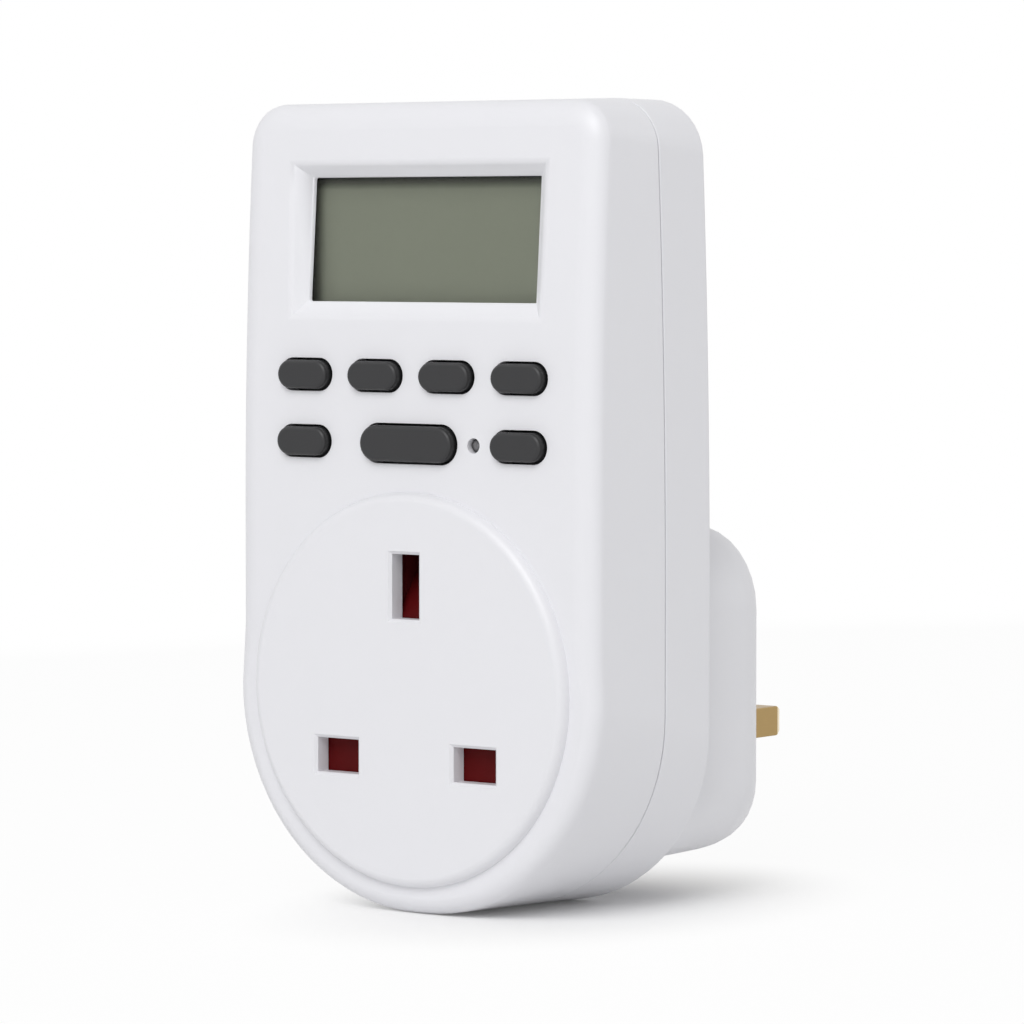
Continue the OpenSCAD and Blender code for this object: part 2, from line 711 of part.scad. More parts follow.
// A lamp on the board with a light guide that ends in the case front
module status_lamp() color([0.8, 0.3, 0.25]) placed() {
    bar([lamp_x, lower_row_z], front_d + 0.1, display_board_d - 1.9, lamp_d / 2 - 0.06);
    slab(display_board_d - 2, display_board_d) translate([lamp_x, lower_row_z]) square(2.4, center = true);
}

// ---- Keys ----

// The rubber mat: a sheet on the board with a pad behind each key
module key_mat() color(rubber_grey) placed() {
    edge_x = KEYS[3][0] + key_w / 2 + 0.6;
    slab(mat_d, display_board_d) difference() {
        panel([-edge_x, lower_row_z - key_h], [edge_x, upper_row_z + key_h]);
        translate([lamp_x, lower_row_z]) circle(2);
    }
    for (k = KEYS) translate([k[0], 0, k[1]]) slab(mat_d - mat_pad, mat_d + 0.2) pill(k[2] - 3, k[3] - 2);
}

// One key: a soft-edged cap, a flange that stops it inside the case and a stem
module push_key(k) color(key_grey) placed() translate([k[0], 0, k[1]]) {
    front = front_d + lean(k[1]) - key_proud;
    seat = front_inner + lean(k[1]) + key_seat_gap;
    translate([0, front, 0]) soft_pill(k[2], k[3], seat - front + 0.2, key_round);
    slab(seat, seat + key_flange_t) pill(k[2] + 2 * key_flange, k[3] + 2 * key_flange);
    slab(seat, key_rear) pill(k[2] - 3, k[3] - 2);
}

module key_upper_1() push_key(KEYS[0]);
module key_upper_2() push_key(KEYS[1]);
module key_upper_3() push_key(KEYS[2]);
module key_upper_4() push_key(KEYS[3]);
module key_lower_left() push_key(KEYS[4]);
module key_wide() push_key(KEYS[5]);
module key_lower_right() push_key(KEYS[6]);

// ---- Power board ----

module power_board() color(board_green) placed() slab(power_board_d, power_board_back) difference() {
    panel([-board_half_w, power_board_base], [board_half_w, power_board_top]);
    for (p = POWER_POSTS) translate(p) circle(pilot_r + 0.15);
}

module relay() color([0.15, 0.2, 0.3]) placed()
    slab(power_board_d - relay_l, power_board_d) translate([11.5, relay_base + 8]) soft_box(20, 16, 0.8);

module film_capacitor() color([0.75, 0.6, 0.15]) placed()
    slab(power_board_d - 5, power_board_d) translate([-12, 43.6]) soft_box(18, 11.5, 0.6);

module electrolytic_capacitor() color([0.15, 0.15, 0.2]) placed()
    translate([-19, power_board_d - 4, 61]) rotate([0, 90, 0]) cylinder(h = 12, r = 4);

module rectifier_diodes() color(black) placed()
    for (x = [-4:4:8]) translate([x, power_board_d - 1.3, 58]) cylinder(h = 5.2, r = 1.3);

module dropper_resistor() color([0.7, 0.66, 0.55]) placed()
    translate([2, power_board_d - 2.2, 69]) rotate([0, 90, 0]) cylinder(h = 12, r = 2.2);

// The row of pins that joins the two boards
module board_link() color(black) placed() {
    for (y = [display_board_back, power_board_d - 2.4]) slab(y, y + 2.4) panel([-6.2, 33.6], [6.2, 36]);
    slab(display_board_back, power_board_d)
        for (x = [-5:2.5:5]) translate([x, 34.8]) square(0.7, center = true);
}

// ---- Shutter ----

// A plate that hides the live and neutral contacts, and a ramp that the earth pin pushes down
module shutter() color(shutter_red) placed() {
    slab(shutter_d, shutter_back) difference() {
        panel([-shutter_half_w, shutter_base], [shutter_half_w, shutter_top]);
        for (s = [-1, 1]) translate([s * pin_x, shutter_travel])
            plate(slot_w + 2 * window_play, slot_h + 2 * window_play);
    }
    rib(-ramp_half_w, ramp_half_w) polygon([[shutter_d, shutter_top - 1.5], [shutter_d, shutter_top],
        [shutter_d + ramp_deep - 1, ramp_top], [shutter_d + ramp_deep, ramp_top],
        [shutter_d + ramp_deep, ramp_top - 4], [shutter_back, shutter_top - 1.5]]);
    for (s = [-1, 1]) rib(s * spring_x - 1.7, s * spring_x + 1.7)
        panel([shutter_d, shutter_base], [spring_y + spring_r + 0.4, shutter_base + spring_foot]);
}

// A coil of round wire that stands on z = 0
module coil(height) {
    steps = spring_turns * 10;
    sides = 6;
    rise = height - 2 * spring_wire;
    points = [for (i = [0:steps], j = [0:sides - 1])
        let (a = 36 * i, b = 60 * j, r = spring_r + spring_wire * cos(b))
        [r * cos(a), r * sin(a), spring_wire + rise * i / steps + spring_wire * sin(b)]];
    tube = [for (i = [0:steps - 1], j = [0:sides - 1])
        let (a = i * sides + j, b = i * sides + (j + 1) % sides) each
        [[a, b, b + sides], [a, b + sides, a + sides]]];
    ends = [[for (j = [sides - 1:-1:0]) j], [for (j = [0:sides - 1]) steps * sides + j]];
    polyhedron(points, concat(tube, ends), convexity = 10);
}

module shutter_springs() color(steel) placed() for (s = [-1, 1])
    translate([s * spring_x, spring_y, spring_seat_z]) coil(shutter_base - spring_seat_z);

// ---- Socket contacts ----

// The cell round one live or neutral contact
module contact_cell(s) translate([s * pin_x, 0, 0]) slab(carrier_plate - eps, contact_back) difference() {
    plate(2 * (cell_half_w + carrier_wall), 2 * (cell_half_h + carrier_wall));
    plate(2 * cell_half_w, 2 * cell_half_h);
}

// The moulding that holds the contacts and guides the shutter from behind
module contact_carrier() color(carrier_red) placed() difference() {
    union() {
        slab(carrier_d, carrier_plate) panel([-carrier_half_w, carrier_base], [carrier_half_w, carrier_top]);
        for (s = [-1, 1]) contact_cell(s);
        slab(carrier_plate - eps, earth_back) panel([-ramp_half_w - 2.4, ramp_slot_base - carrier_wall],
            [ramp_half_w + 2.4, carrier_top]);
        for (s = [-1, 1]) {
            slab(lug_d, lug_d + lug_t) translate([s * (lug_x - 1), lug_z]) soft_box(7, 5, 1);
            slab(carrier_plate - eps, lug_d + lug_t) translate([s * (carrier_half_w - 1), lug_z])
                plate(2, 5);
        }
    }
    for (s = [-1, 1]) {
        translate([s * pin_x, 0, 0]) slab(0, carrier_plate + 1) plate(slot_w + 0.6, slot_h + 0.8);
        rib(s * spring_x - 2.1, s * spring_x + 2.1)
            panel([0, carrier_base - 1], [carrier_plate + 1, shutter_base + spring_foot + 0.5]);
        bar([s * lug_x, lug_z], lug_d - 1, lug_d + lug_t + 1, pilot_r + 0.15);
    }
    rib(-ramp_half_w - shutter_gap, ramp_half_w + shutter_gap)
        panel([0, ramp_slot_base], [earth_wall_d, ramp_top + 0.6]);
    translate([0, 0, earth_z]) {
        slab(0, earth_cell_d + 1) plate(earth_slot_w + 0.4, earth_slot_h + 0.4);
        slab(earth_cell_d, earth_back + 1) plate(2 * cell_half_h - 0.4, earth_slot_h + 1);
    }
}

// A closed strip with one side along a path and the other a thickness beyond
function strip(path, t) = concat(path, [for (i = [len(path) - 1:-1:0]) path[i] + [0, t]]);

// Two sprung leaves folded from one strip: they flare at the mouth and pinch in the middle
module contact(back, length, grip, half_width) {
    mouth = back - length;
    path = [[mouth, grip + 0.9], [mouth + length * 0.5, grip],
        [mouth + length * 0.7, grip + 0.5], [back, grip + 0.5]];
    for (m = [0, 1]) mirror([0, 0, m]) rib(-half_width, half_width) polygon(strip(path, leaf_t));
    rib(-half_width, half_width) panel([back - leaf_t, -grip - 0.6], [back, grip + 0.6]);
}

module live_contact() color(brass) placed() translate([pin_x, 0, 0])
    contact(contact_back, contact_l, pin_h / 2 - 0.2, contact_half_w);

module neutral_contact() color(brass) placed() translate([-pin_x, 0, 0])
    contact(contact_back, contact_l, pin_h / 2 - 0.2, contact_half_w);

module earth_contact() color(brass) placed() translate([0, 0, earth_z]) rotate([0, 90, 0])
    contact(earth_back, contact_l - 2.8, earth_pin_w / 2 - 0.2, earth_half_h);

// ---- Plug pins ----

// The bare end of a pin: a bar whose tip is bevelled on all four sides
module pin_tip(w, h, y0, y1, bevel, bevel_l) {
    shoulder = y1 - bevel_l;
    slab(y0, shoulder) plate(w, h);
    hull() {
        slab(shoulder - 0.01, shoulder) plate(w, h);
        slab(y1 - 0.01, y1) plate(w - 2 * bevel.x, h - 2 * bevel.y);
    }
}

// The part of a pin inside the case: a flange against the wall and a riveted tail
module pin_root(w, h) {
    slab(flange_d, plug_inner) plate(w + 2 * flange, h + 2 * flange);
    bar([0, 0], strap_end - rivet_t, flange_d + eps, tail_r);
    bar([0, 0], strap_end - rivet_t, strap_end, rivet_r);
}

module mains_pin(s) color(brass) placed() translate([s * pin_x, 0, pin_z]) {
    pin_root(pin_w, pin_h);
    slab(plug_inner - eps, case_depth + sleeve_l) plate(pin_w - 2 * sleeve_t, pin_h - 2 * sleeve_t);
    pin_tip(pin_w, pin_h, case_depth + sleeve_l, case_depth + pin_l, tip_bevel, tip_bevel_l);
}

module live_pin() mains_pin(1);
module neutral_pin() mains_pin(-1);

module earth_pin() color(brass) placed() translate([0, 0, earth_pin_z]) {
    pin_root(earth_pin_w, earth_pin_h);
    end = case_depth + earth_pin_l;
    pin_tip(earth_pin_w, earth_pin_h, plug_inner - eps, end, earth_tip_bevel, earth_tip_bevel_l);
}

module sleeve(s) color(black) placed() translate([s * pin_x, 0, pin_z])
    slab(plug_inner, case_depth + sleeve_l) difference() {
        plate(pin_w, pin_h);
        plate(pin_w - 2 * sleeve_t, pin_h - 2 * sleeve_t);
    }

module live_sleeve() sleeve(1);
module neutral_sleeve() sleeve(-1);

module pin_retainer() color(retainer_cream) placed() slab(retainer_d, flange_d) difference() {
    union() {
        translate([0, pin_z + 1.4]) soft_box(34, 12, 3);
        translate([0, (retainer_top + pin_z + 1) / 2]) soft_box(24, retainer_top - pin_z - 1, 3);
    }
    for (p = [[-pin_x, pin_z], [pin_x, pin_z], [0, earth_pin_z]]) translate(p) circle(tail_r + pin_gap);
    for (p = RETAINER_POSTS) translate(p) circle(pilot_r + 0.15);
}

// ---- Straps ----

// A hole for the tail of a pin
module tail_hole(at) bar(at, strap_end - 1, retainer_d + 1, tail_r + pin_gap);

// From the live pin round to the relay
module live_strap() color(copper) placed() {
    outer = pin_x + 9.8;
    difference() {
        slab(strap_end, retainer_d) panel([pin_x - 3, pin_z - 2.7], [outer, pin_z + 2.7]);
        tail_hole([pin_x, pin_z]);
    }
    rib(outer - strap_t, outer) {
        panel([power_board_d - 5, pin_z - 2.7], [retainer_d, pin_z + 2.7]);
        panel([power_board_d - 5, pin_z - 2.7], [power_board_d - 1.6, relay_base]);
    }
}

// From the relay down to the live contact
module switched_strap() color(copper) placed() slab(contact_back, contact_back + strap_t) {
    panel([pin_x - 2.6, -3], [pin_x + 6, 3]);
    panel([pin_x + 3.2, -3], [pin_x + 6, relay_base]);
}

// From the neutral pin to the neutral contact, with a tab up to the power board
module neutral_strap() color(copper) placed() {
    slab(contact_back, contact_back + strap_t) {
        panel([-pin_x - 6, -3], [-pin_x + 2.6, 3]);
        panel([-pin_x - 6, -3], [-pin_x - 3.2, relay_base - 1]);
    }
    rib(-pin_x - 2.6, -pin_x + 2.6) panel([contact_back, -3], [retainer_d, -3 + strap_t]);
    difference() {
        slab(strap_end, retainer_d) panel([-pin_x - 2.6, -3], [-pin_x + 2.6, pin_z + 3]);
        tail_hole([-pin_x, pin_z]);
    }
}

module earth_strap() color(copper) placed() {
    low = earth_z - 5;
    rib(-3, 3) {
        panel([earth_back, low], [earth_back + strap_t, earth_z + 3.6]);
        panel([earth_back, low], [retainer_d, low + strap_t]);
    }
    difference() {
        slab(strap_end, retainer_d) panel([-3, low], [3, earth_pin_z + 3.4]);
        tail_hole([0, earth_pin_z]);
    }
}

// ---- The assembly ----

front_case();
rear_case();
display_lens();
lcd_panel();
lcd_holder();
zebra_strips();
key_mat();
key_upper_1();
key_upper_2();
key_upper_3();
key_upper_4();
key_lower_left();
key_wide();
key_lower_right();
display_board();
controller_chip();
crystal();
backup_cell();
status_lamp();
small_screws();
power_board();
relay();
film_capacitor();
electrolytic_capacitor();
rectifier_diodes();
dropper_resistor();
board_link();
shutter();
shutter_springs();
contact_carrier();
live_contact();
neutral_contact();
earth_contact();
live_pin();
neutral_pin();
earth_pin();
live_sleeve();
neutral_sleeve();
pin_retainer();
live_strap();
switched_strap();
neutral_strap();
earth_strap();
case_screws();
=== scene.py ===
"""Plug-in timer switch: visible pieces, finishes and stage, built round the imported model.

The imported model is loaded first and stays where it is. The two case mouldings, the keys, the
pins and their sleeves, the light guide, the case screws and the return springs get finished
pieces of their own; every other sub-part keeps its shape and gets its finish.
"""

import math

import bmesh
import bpy
from bpy.props import FloatProperty, FloatVectorProperty, PointerProperty
from bpy.types import Operator, Panel, PropertyGroup
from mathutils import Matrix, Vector


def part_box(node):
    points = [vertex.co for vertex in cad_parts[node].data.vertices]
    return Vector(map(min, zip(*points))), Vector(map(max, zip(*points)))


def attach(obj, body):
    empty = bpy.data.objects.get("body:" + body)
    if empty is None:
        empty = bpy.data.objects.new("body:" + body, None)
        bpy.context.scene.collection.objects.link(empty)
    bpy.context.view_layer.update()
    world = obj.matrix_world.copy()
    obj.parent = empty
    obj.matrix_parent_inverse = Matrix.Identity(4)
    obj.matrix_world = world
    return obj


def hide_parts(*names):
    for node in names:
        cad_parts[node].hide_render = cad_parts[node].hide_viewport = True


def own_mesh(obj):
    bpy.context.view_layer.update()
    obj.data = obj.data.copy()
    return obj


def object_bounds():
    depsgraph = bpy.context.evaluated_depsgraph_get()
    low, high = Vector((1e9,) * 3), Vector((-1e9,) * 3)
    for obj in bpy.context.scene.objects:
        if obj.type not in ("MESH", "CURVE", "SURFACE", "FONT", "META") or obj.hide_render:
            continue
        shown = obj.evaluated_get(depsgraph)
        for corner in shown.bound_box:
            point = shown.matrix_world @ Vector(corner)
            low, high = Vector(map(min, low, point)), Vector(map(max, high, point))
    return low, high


bl_info = {
    "name": "Plug-in timer switch",
    "version": (1, 0, 0),
    "blender": (4, 5, 0),
    "location": "3D view > Sidebar > Timer switch",
    "description": "Case, display, keys, shutter, pins and screws of a plug-in timer switch",
    "category": "Add Mesh",
}

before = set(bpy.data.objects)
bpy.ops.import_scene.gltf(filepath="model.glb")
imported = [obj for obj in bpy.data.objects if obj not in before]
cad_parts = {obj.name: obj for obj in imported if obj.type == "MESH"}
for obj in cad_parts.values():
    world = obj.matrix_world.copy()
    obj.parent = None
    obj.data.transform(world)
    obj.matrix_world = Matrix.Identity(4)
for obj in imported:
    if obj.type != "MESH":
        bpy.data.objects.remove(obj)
CAD_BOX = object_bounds()
MM = 0.001
WHITE = (1.0, 1.0, 1.0, 1.0)
BLACK = (0.0, 0.0, 0.0, 1.0)

# Joining and choosing parts of a mesh
WELD = 0.001 * MM  # vertices of a CAD mesh nearer than this are one
COPLANAR = math.radians(0.05)  # faces that turn by less than this are one flat face
TOUCH = 0.01 * MM  # a vertex nearer than this to a depth lies at that depth
FLAT = 0.99  # a flat end face has more than this of y in its normal

# Display opening. Its edges lie in a box round the lens, and the faces that meet at them are
# told apart by the share of y in their normals.
SURROUND = 5 * MM  # reach of the box beyond the lens
SURROUND_AHEAD = 6 * MM  # its reach in front of the lens's face
SURROUND_BEHIND = 1.5 * MM  # its reach behind that face
SURROUND_SHARP = math.radians(25)  # an edge of the opening turns by more than this
FLAT_FRONT = (-1.0, -0.99)
BEVELLED = (-0.95, -0.5)
OPENING_WALL = (-0.3, 0.3)
DEPTHWISE = 0.9  # a corner of the opening has more than this of y in its direction

# Painted shadow of the window's left and top edges on the display: distances from those edges
# between which it fades, and the share of the film's colour that is left where it is darkest
SIDE_SHADOW = (0.2 * MM, 2.6 * MM)
SIDE_SHADOW_KEEP = 0.3
TOP_SHADOW = (4.2 * MM, 2.8 * MM)
TOP_SHADOW_KEEP = 0.17

# Light guide: radii between which its end turns from milky to a nearly black painted shade
MILKY_R = 0.3 * MM
RIM_SHADE_R = 0.6 * MM

# Keys, pins and screws
KEY_NODES = (
    "key_upper_1",
    "key_upper_2",
    "key_upper_3",
    "key_upper_4",
    "key_lower_left",
    "key_wide",
    "key_lower_right",
)
CAP_POINTS = 56
CAP_SIDE = 0.6  # a face of a cap with less than this of y in its normal is at its side
MILLED = 4 * MM  # length of pin that is milled
MILLED_SLOPE = 0.15  # a milled face has more than this of y in its normal
LEAD_NEAR = 0.1 * MM  # a vertex nearer than this to the start of the lead-in is part of it
SCREW_POINTS = 40
SCREW_REACH = 4 * MM  # every vertex of a screw is nearer than this to its axis
DRIVE_FOOT = 0.55  # size of the foot of a drive arm beside its mouth

# Stage, in metres from the origin of the model
FLOOR_SIZE = 12.0
PAPER_SHADES = (0.9, 0.92)
SHADOW_SHIFT = (-0.009, 0.0167, 0.021)  # puts the middle of the contact shadow at 0
SHADOW_SQUEEZE = (1.0, 0.667, 1.0)  # makes the contact shadow round
SHADOW_FADE = (0.008, 0.036)  # distances between which the contact shadow fades
PAPER_WHITE = 0.93  # share of white outside the contact shadow
HORIZON_FADE = (0.1, 0.4)  # distances between which the floor turns wholly white
LAMP_SIZE = 1.0
LAMP_TARGET = (0.0, -0.03, 0.03)
MAIN_LAMP = (0.402, -1.239, 1.093)
BACK_LAMP = (1.1, 0.9, 0.5)
CAMERA = (0.40131, -0.54941, 0.06547)
CAMERA_TARGET = (0.017342, -0.0462, 0.031165)
CAMERA_LENS = 178.27  # in millimetres, as is the sensor
CAMERA_SENSOR = 36.0


# ---- Colours and nodes ----


def linear(code):
    """The linear colour of an sRGB hex value such as #E6E6E9."""
    parts = [int(code[i : i + 2], 16) / 255 for i in (1, 3, 5)]
    return tuple(c / 12.92 if c <= 0.04045 else ((c + 0.055) / 1.055) ** 2.4 for c in parts)


def shade(colour, factor):
    """A colour made lighter or darker, with the fourth value that sockets take."""
    return tuple(min(1.0, c * factor) for c in colour[:3]) + (1.0,)


def per_metre(size_mm):
    """The scale at which a texture's features are this many millimetres across."""
    return 1 / (size_mm * MM)


def add(tree, kind, sockets=None, **settings):
    """Adds a node, sets its options, and sets or links its sockets."""
    node = tree.nodes.new(kind)
    for name, value in settings.items():
        setattr(node, name, value)
    for name, value in (sockets or {}).items():
        if isinstance(value, bpy.types.NodeSocket):
            tree.links.new(value, node.inputs[name])
        else:
            node.inputs[name].default_value = value
    return node


def noise(tree, place, scale, detail=2.0, roughness=0.5):
    """A value that wanders between 0 and 1."""
    sockets = {"Vector": place, "Scale": scale, "Detail": detail, "Roughness": roughness}
    return add(tree, "ShaderNodeTexNoise", sockets).outputs["Fac"]


def blend(tree, share, first, second, mode="MIX"):
    """A colour made from two others."""
    sockets = {0: share, 6: first, 7: second}
    return add(tree, "ShaderNodeMix", sockets, data_type="RGBA", blend_type=mode).outputs[2]


def remap(tree, value, ends, results, ease="LINEAR"):
    """Turns the range between two ends into the range between two results."""
    sockets = {
        "Value": value,
        "From Min": ends[0],
        "From Max": ends[1],
        "To Min": results[0],
        "To Max": results[1],
    }
    return add(tree, "ShaderNodeMapRange", sockets, interpolation_type=ease).outputs["Result"]


def combine(tree, operation, first, second):
    """One value worked out from two."""
    return add(tree, "ShaderNodeMath", {0: first, 1: second}, operation=operation).outputs[0]


def distance(tree, place, shift, squeeze):
    """How far a place lies from 0 once it is squeezed and shifted."""
    sockets = {"Vector": place, "Location": shift, "Scale": squeeze}
    moved = add(tree, "ShaderNodeMapping", sockets).outputs["Vector"]
    return add(tree, "ShaderNodeVectorMath", {0: moved}, operation="LENGTH").outputs["Value"]


def relief(tree, height, depth_mm):
    """The normal of a surface with a fine relief."""
    sockets = {"Height": height, "Distance": depth_mm * MM, "Strength": 1.0}
    return add(tree, "ShaderNodeBump", sockets).outputs["Normal"]


def principled(tree, sockets):
    """The standard shader, with these sockets set or linked."""
    return add(tree, "ShaderNodeBsdfPrincipled", sockets).outputs["BSDF"]


def new_finish(name):
    """An empty material, its node tree and the socket with the place on the piece."""
    material = bpy.data.materials.new(name)
    material.use_nodes = True
    material.node_tree.nodes.clear()
    place = add(material.node_tree, "ShaderNodeTexCoord").outputs["Object"]
    return material, material.node_tree, place


def surfaced(material, shader):
    """The material, with its surface made by a shader."""
    add(material.node_tree, "ShaderNodeOutputMaterial", {"Surface": shader})
    return material


# ---- Finishes ----


def moulded(
    name,
    colour,
    ior,
    roughness,
    grain_mm,
    height_mm,
    cloud=0.02,
    cloud_mm=9.0,
    sheen=0.5,
    spread=0.06,
):
    """A moulded plastic: pigment that is faintly cloudy, gloss that varies, and tool grain.

    The pigment varies by cloud and the roughness by spread, up and down.
    """
    material, tree, place = new_finish(name)
    clouds = noise(tree, place, per_metre(cloud_mm), detail=3.0, roughness=0.55)
    pigment = blend(tree, clouds, shade(colour, 1 - cloud), shade(colour, 1 + cloud))
    grain = noise(tree, place, per_metre(grain_mm), detail=2.0, roughness=0.6)
    gloss = remap(tree, grain, (0.0, 1.0), (roughness - spread, roughness + spread))
    sockets = {
        "Base Color": pigment,
        "Roughness": gloss,
        "IOR": ior,
        "Specular IOR Level": sheen,
        "Normal": relief(tree, grain, height_mm),
    }
    return surfaced(material, principled(tree, sockets))


def worked_metal(
    name, colour, roughness, marks_mm, height_mm, tarnish=0.1, patch_mm=3.5, spread=0.1
):
    """A bare metal: marks_mm is the length of its tool marks along x, y and z.

    The colour is darker by up to tarnish, in patches, and the roughness varies by spread.
    """
    material, tree, place = new_finish(name)
    scale = tuple(per_metre(size) for size in marks_mm)
    stretched = add(tree, "ShaderNodeMapping", {"Vector": place, "Scale": scale})
    marks = noise(tree, stretched.outputs["Vector"], 1.0, detail=3.0)
    patches = noise(tree, place, per_metre(patch_mm), detail=4.0, roughness=0.6)
    metal = blend(tree, patches, shade(colour, 1 - tarnish), shade(colour, 1.0))
    gloss = remap(tree, marks, (0.0, 1.0), (roughness - spread, roughness + spread))
    sockets = {
        "Base Color": metal,
        "Metallic": 1.0,
        "Roughness": gloss,
        "Normal": relief(tree, marks, height_mm),
    }
    return surfaced(material, principled(tree, sockets))


def spark_eroded_polycarbonate(colour):
    """Polycarbonate from a spark-eroded tool: an even satin skin that softens each highlight.

    The real grain is about 0.05 mm; it is drawn at 0.3 mm so that it still shows.
    """
    return moulded(
        "spark_eroded_polycarbonate",
        colour,
        ior=1.585,
        roughness=0.42,
        grain_mm=0.3,
        height_mm=0.006,
        cloud=0.008,
    )


def moulded_acetal(colour):
    """Dark red acetal, moulded: a deep, waxy shutter that slides well and reflects little."""
    return moulded(
        "moulded_acetal",
        colour,
        ior=1.48,
        roughness=0.5,
        grain_mm=0.4,
        height_mm=0.006,
        cloud=0.15,
        cloud_mm=2.5,
        sheen=0.1,
    )


def satin_abs(name, colour):
    """Charcoal ABS from a fine-blasted tool: dark caps with a broad, dull sheen."""
    return moulded(
        name,
        colour,
        ior=1.54,
        roughness=0.42,
        grain_mm=0.22,
        height_mm=0.006,
        cloud=0.05,
        cloud_mm=3.0,
        sheen=0.4,
    )


def moulded_nylon(colour):
    """Black nylon, moulded: slightly waxy, for the sleeves and the panel holder."""
    return moulded(
        "moulded_nylon",
        colour,
        ior=1.53,
        roughness=0.5,
        grain_mm=0.25,
        height_mm=0.008,
        cloud=0.06,
    )


def moulded_pbt(colour):
    """Cream polyester with glass fibre: dull and faintly mottled, for the pin retainer."""
    return moulded(
        "moulded_pbt",
        colour,
        ior=1.55,
        roughness=0.55,
        grain_mm=0.4,
        height_mm=0.015,
        cloud=0.04,
        cloud_mm=4.0,
    )


def glass_filled_nylon(colour):
    """Dark red nylon with glass fibre: dull, with faint flow marks, for the contact carrier."""
    return moulded(
        "glass_filled_nylon",
        colour,
        ior=1.53,
        roughness=0.5,
        grain_mm=0.5,
        height_mm=0.012,
        cloud=0.12,
        cloud_mm=3.0,
    )


def relay_housing(colour):
    """Blue-black moulded relay cover: smooth with a soft gloss."""
    return moulded(
        "relay_housing",
        colour,
        ior=1.53,
        roughness=0.35,
        grain_mm=0.5,
        height_mm=0.005,
        cloud=0.04,
    )


def silicone_rubber(colour):
    """Silicone rubber, pressed: dry and matt, with no clear highlight."""
    return moulded(
        "silicone_rubber",
        colour,
        ior=1.43,
        roughness=0.75,
        grain_mm=0.3,
        height_mm=0.01,
        cloud=0.05,
    )


def black_epoxy(colour):
    """Epoxy of the chip and the diodes, transfer moulded: matt with a sandy grain."""
    return moulded(
        "black_epoxy",
        colour,
        ior=1.55,
        roughness=0.6,
        grain_mm=0.15,
        height_mm=0.008,
        cloud=0.08,
    )


def dipped_epoxy(colour):
    """Epoxy coat of the film capacitor, dipped: smooth and yellow with a little gloss."""
    return moulded(
        "dipped_epoxy",
        colour,
        ior=1.55,
        roughness=0.35,
        grain_mm=0.8,
        height_mm=0.01,
        cloud=0.04,
    )


def shrunk_pvc(colour):
    """Sleeve shrunk onto the electrolytic capacitor: glossy and slightly wavy."""
    return moulded(
        "shrunk_pvc",
        colour,
        ior=1.53,
        roughness=0.28,
        grain_mm=1.5,
        height_mm=0.02,
        cloud=0.04,
    )


def fired_ceramic(colour):
    """Coated ceramic rod of the resistor: chalky, with a pitted skin."""
    return moulded(
        "fired_ceramic",
        colour,
        ior=1.6,
        roughness=0.8,
        grain_mm=0.2,
        height_mm=0.02,
        cloud=0.08,
        cloud_mm=2.0,
    )


def extruded_brass(colour):
    """Brass bar, drawn along y and tumbled: fine lines along the pins and soft reflections."""
    return worked_metal(
        "extruded_brass", colour, roughness=0.36, marks_mm=(0.2, 7.0, 0.2), height_mm=0.006
    )


def milled_brass(colour):
    """Freshly milled brass at the tip of a pin: paler and brighter than the drawn sides."""
    return worked_metal(
        "milled_brass",
        colour,
        roughness=0.3,
        marks_mm=(0.3, 0.3, 0.3),
        height_mm=0.004,
        tarnish=0.04,
    )


def stamped_brass(colour):
    """Brass strip, rolled and stamped: faint marks along the leaves."""
    return worked_metal(
        "stamped_brass", colour, roughness=0.32, marks_mm=(0.25, 4.0, 4.0), height_mm=0.004
    )


def stamped_copper(colour):
    """Copper strip, rolled and stamped: warm and slightly dull."""
    return worked_metal(
        "stamped_copper",
        colour,
        roughness=0.38,
        marks_mm=(0.25, 0.25, 5.0),
        height_mm=0.004,
        tarnish=0.25,
    )


def zinc_plated_steel(colour):
    """Steel with a bright zinc coat: cool grey with a cloudy gloss."""
    return worked_metal(
        "zinc_plated_steel",
        colour,
        roughness=0.34,
        marks_mm=(0.5, 0.5, 0.5),
        height_mm=0.004,
        tarnish=0.15,
    )


def solder_masked_board(colour):
    """Glass-epoxy board under solder mask: green, glossy, with the weave just felt through it."""
    material, tree, place = new_finish("solder_masked_board")
    weave = add(
        tree,
        "ShaderNodeTexWave",
        {"Vector": place, "Scale": per_metre(4.0), "Distortion": 1.5, "Detail": 1.0},
        bands_direction="DIAGONAL",
    ).outputs["Fac"]
    sockets = {
        "Base Color": blend(tree, weave, shade(colour, 0.92), shade(colour, 1.08)),
        "Roughness": 0.3,
        "IOR": 1.55,
        "Normal": relief(tree, weave, depth_mm=0.004),
    }
    return surfaced(material, principled(tree, sockets))


def polariser_film(colour, left, top):
    """Film over liquid-crystal glass, unlit: flat grey-green, finely speckled, half matt.

    A painted shadow of the window's left and top edges darkens the film in a band along them
    that fades inwards.
    """
    material, tree, place = new_finish("polariser_film")
    across = add(tree, "ShaderNodeSeparateXYZ", {0: place}).outputs
    side_ends = [left + inwards for inwards in SIDE_SHADOW]
    side_shadow = remap(tree, across["X"], side_ends, (SIDE_SHADOW_KEEP, 1.0))
    top_ends = [top - inwards for inwards in TOP_SHADOW]
    top_shadow = remap(tree, across["Z"], top_ends, (1.0, TOP_SHADOW_KEEP))
    # painted shadow: the film darkens towards the window's left and top edges
    painted_shadow = combine(tree, "MULTIPLY", side_shadow, top_shadow)
    speckle = noise(tree, place, per_metre(0.35), detail=2.0)
    drift = noise(tree, place, per_metre(22.0), detail=1.0)
    fine = blend(tree, speckle, shade(colour, 0.985), shade(colour, 1.015))
    film = blend(tree, drift, shade(WHITE, 0.96), WHITE)
    tinted = blend(tree, 1.0, fine, film, mode="MULTIPLY")
    sockets = {
        "Base Color": blend(tree, painted_shadow, BLACK, tinted),
        "Roughness": 0.45,
        "IOR": 1.49,
        "Specular IOR Level": 0.12,
    }
    return surfaced(material, principled(tree, sockets))


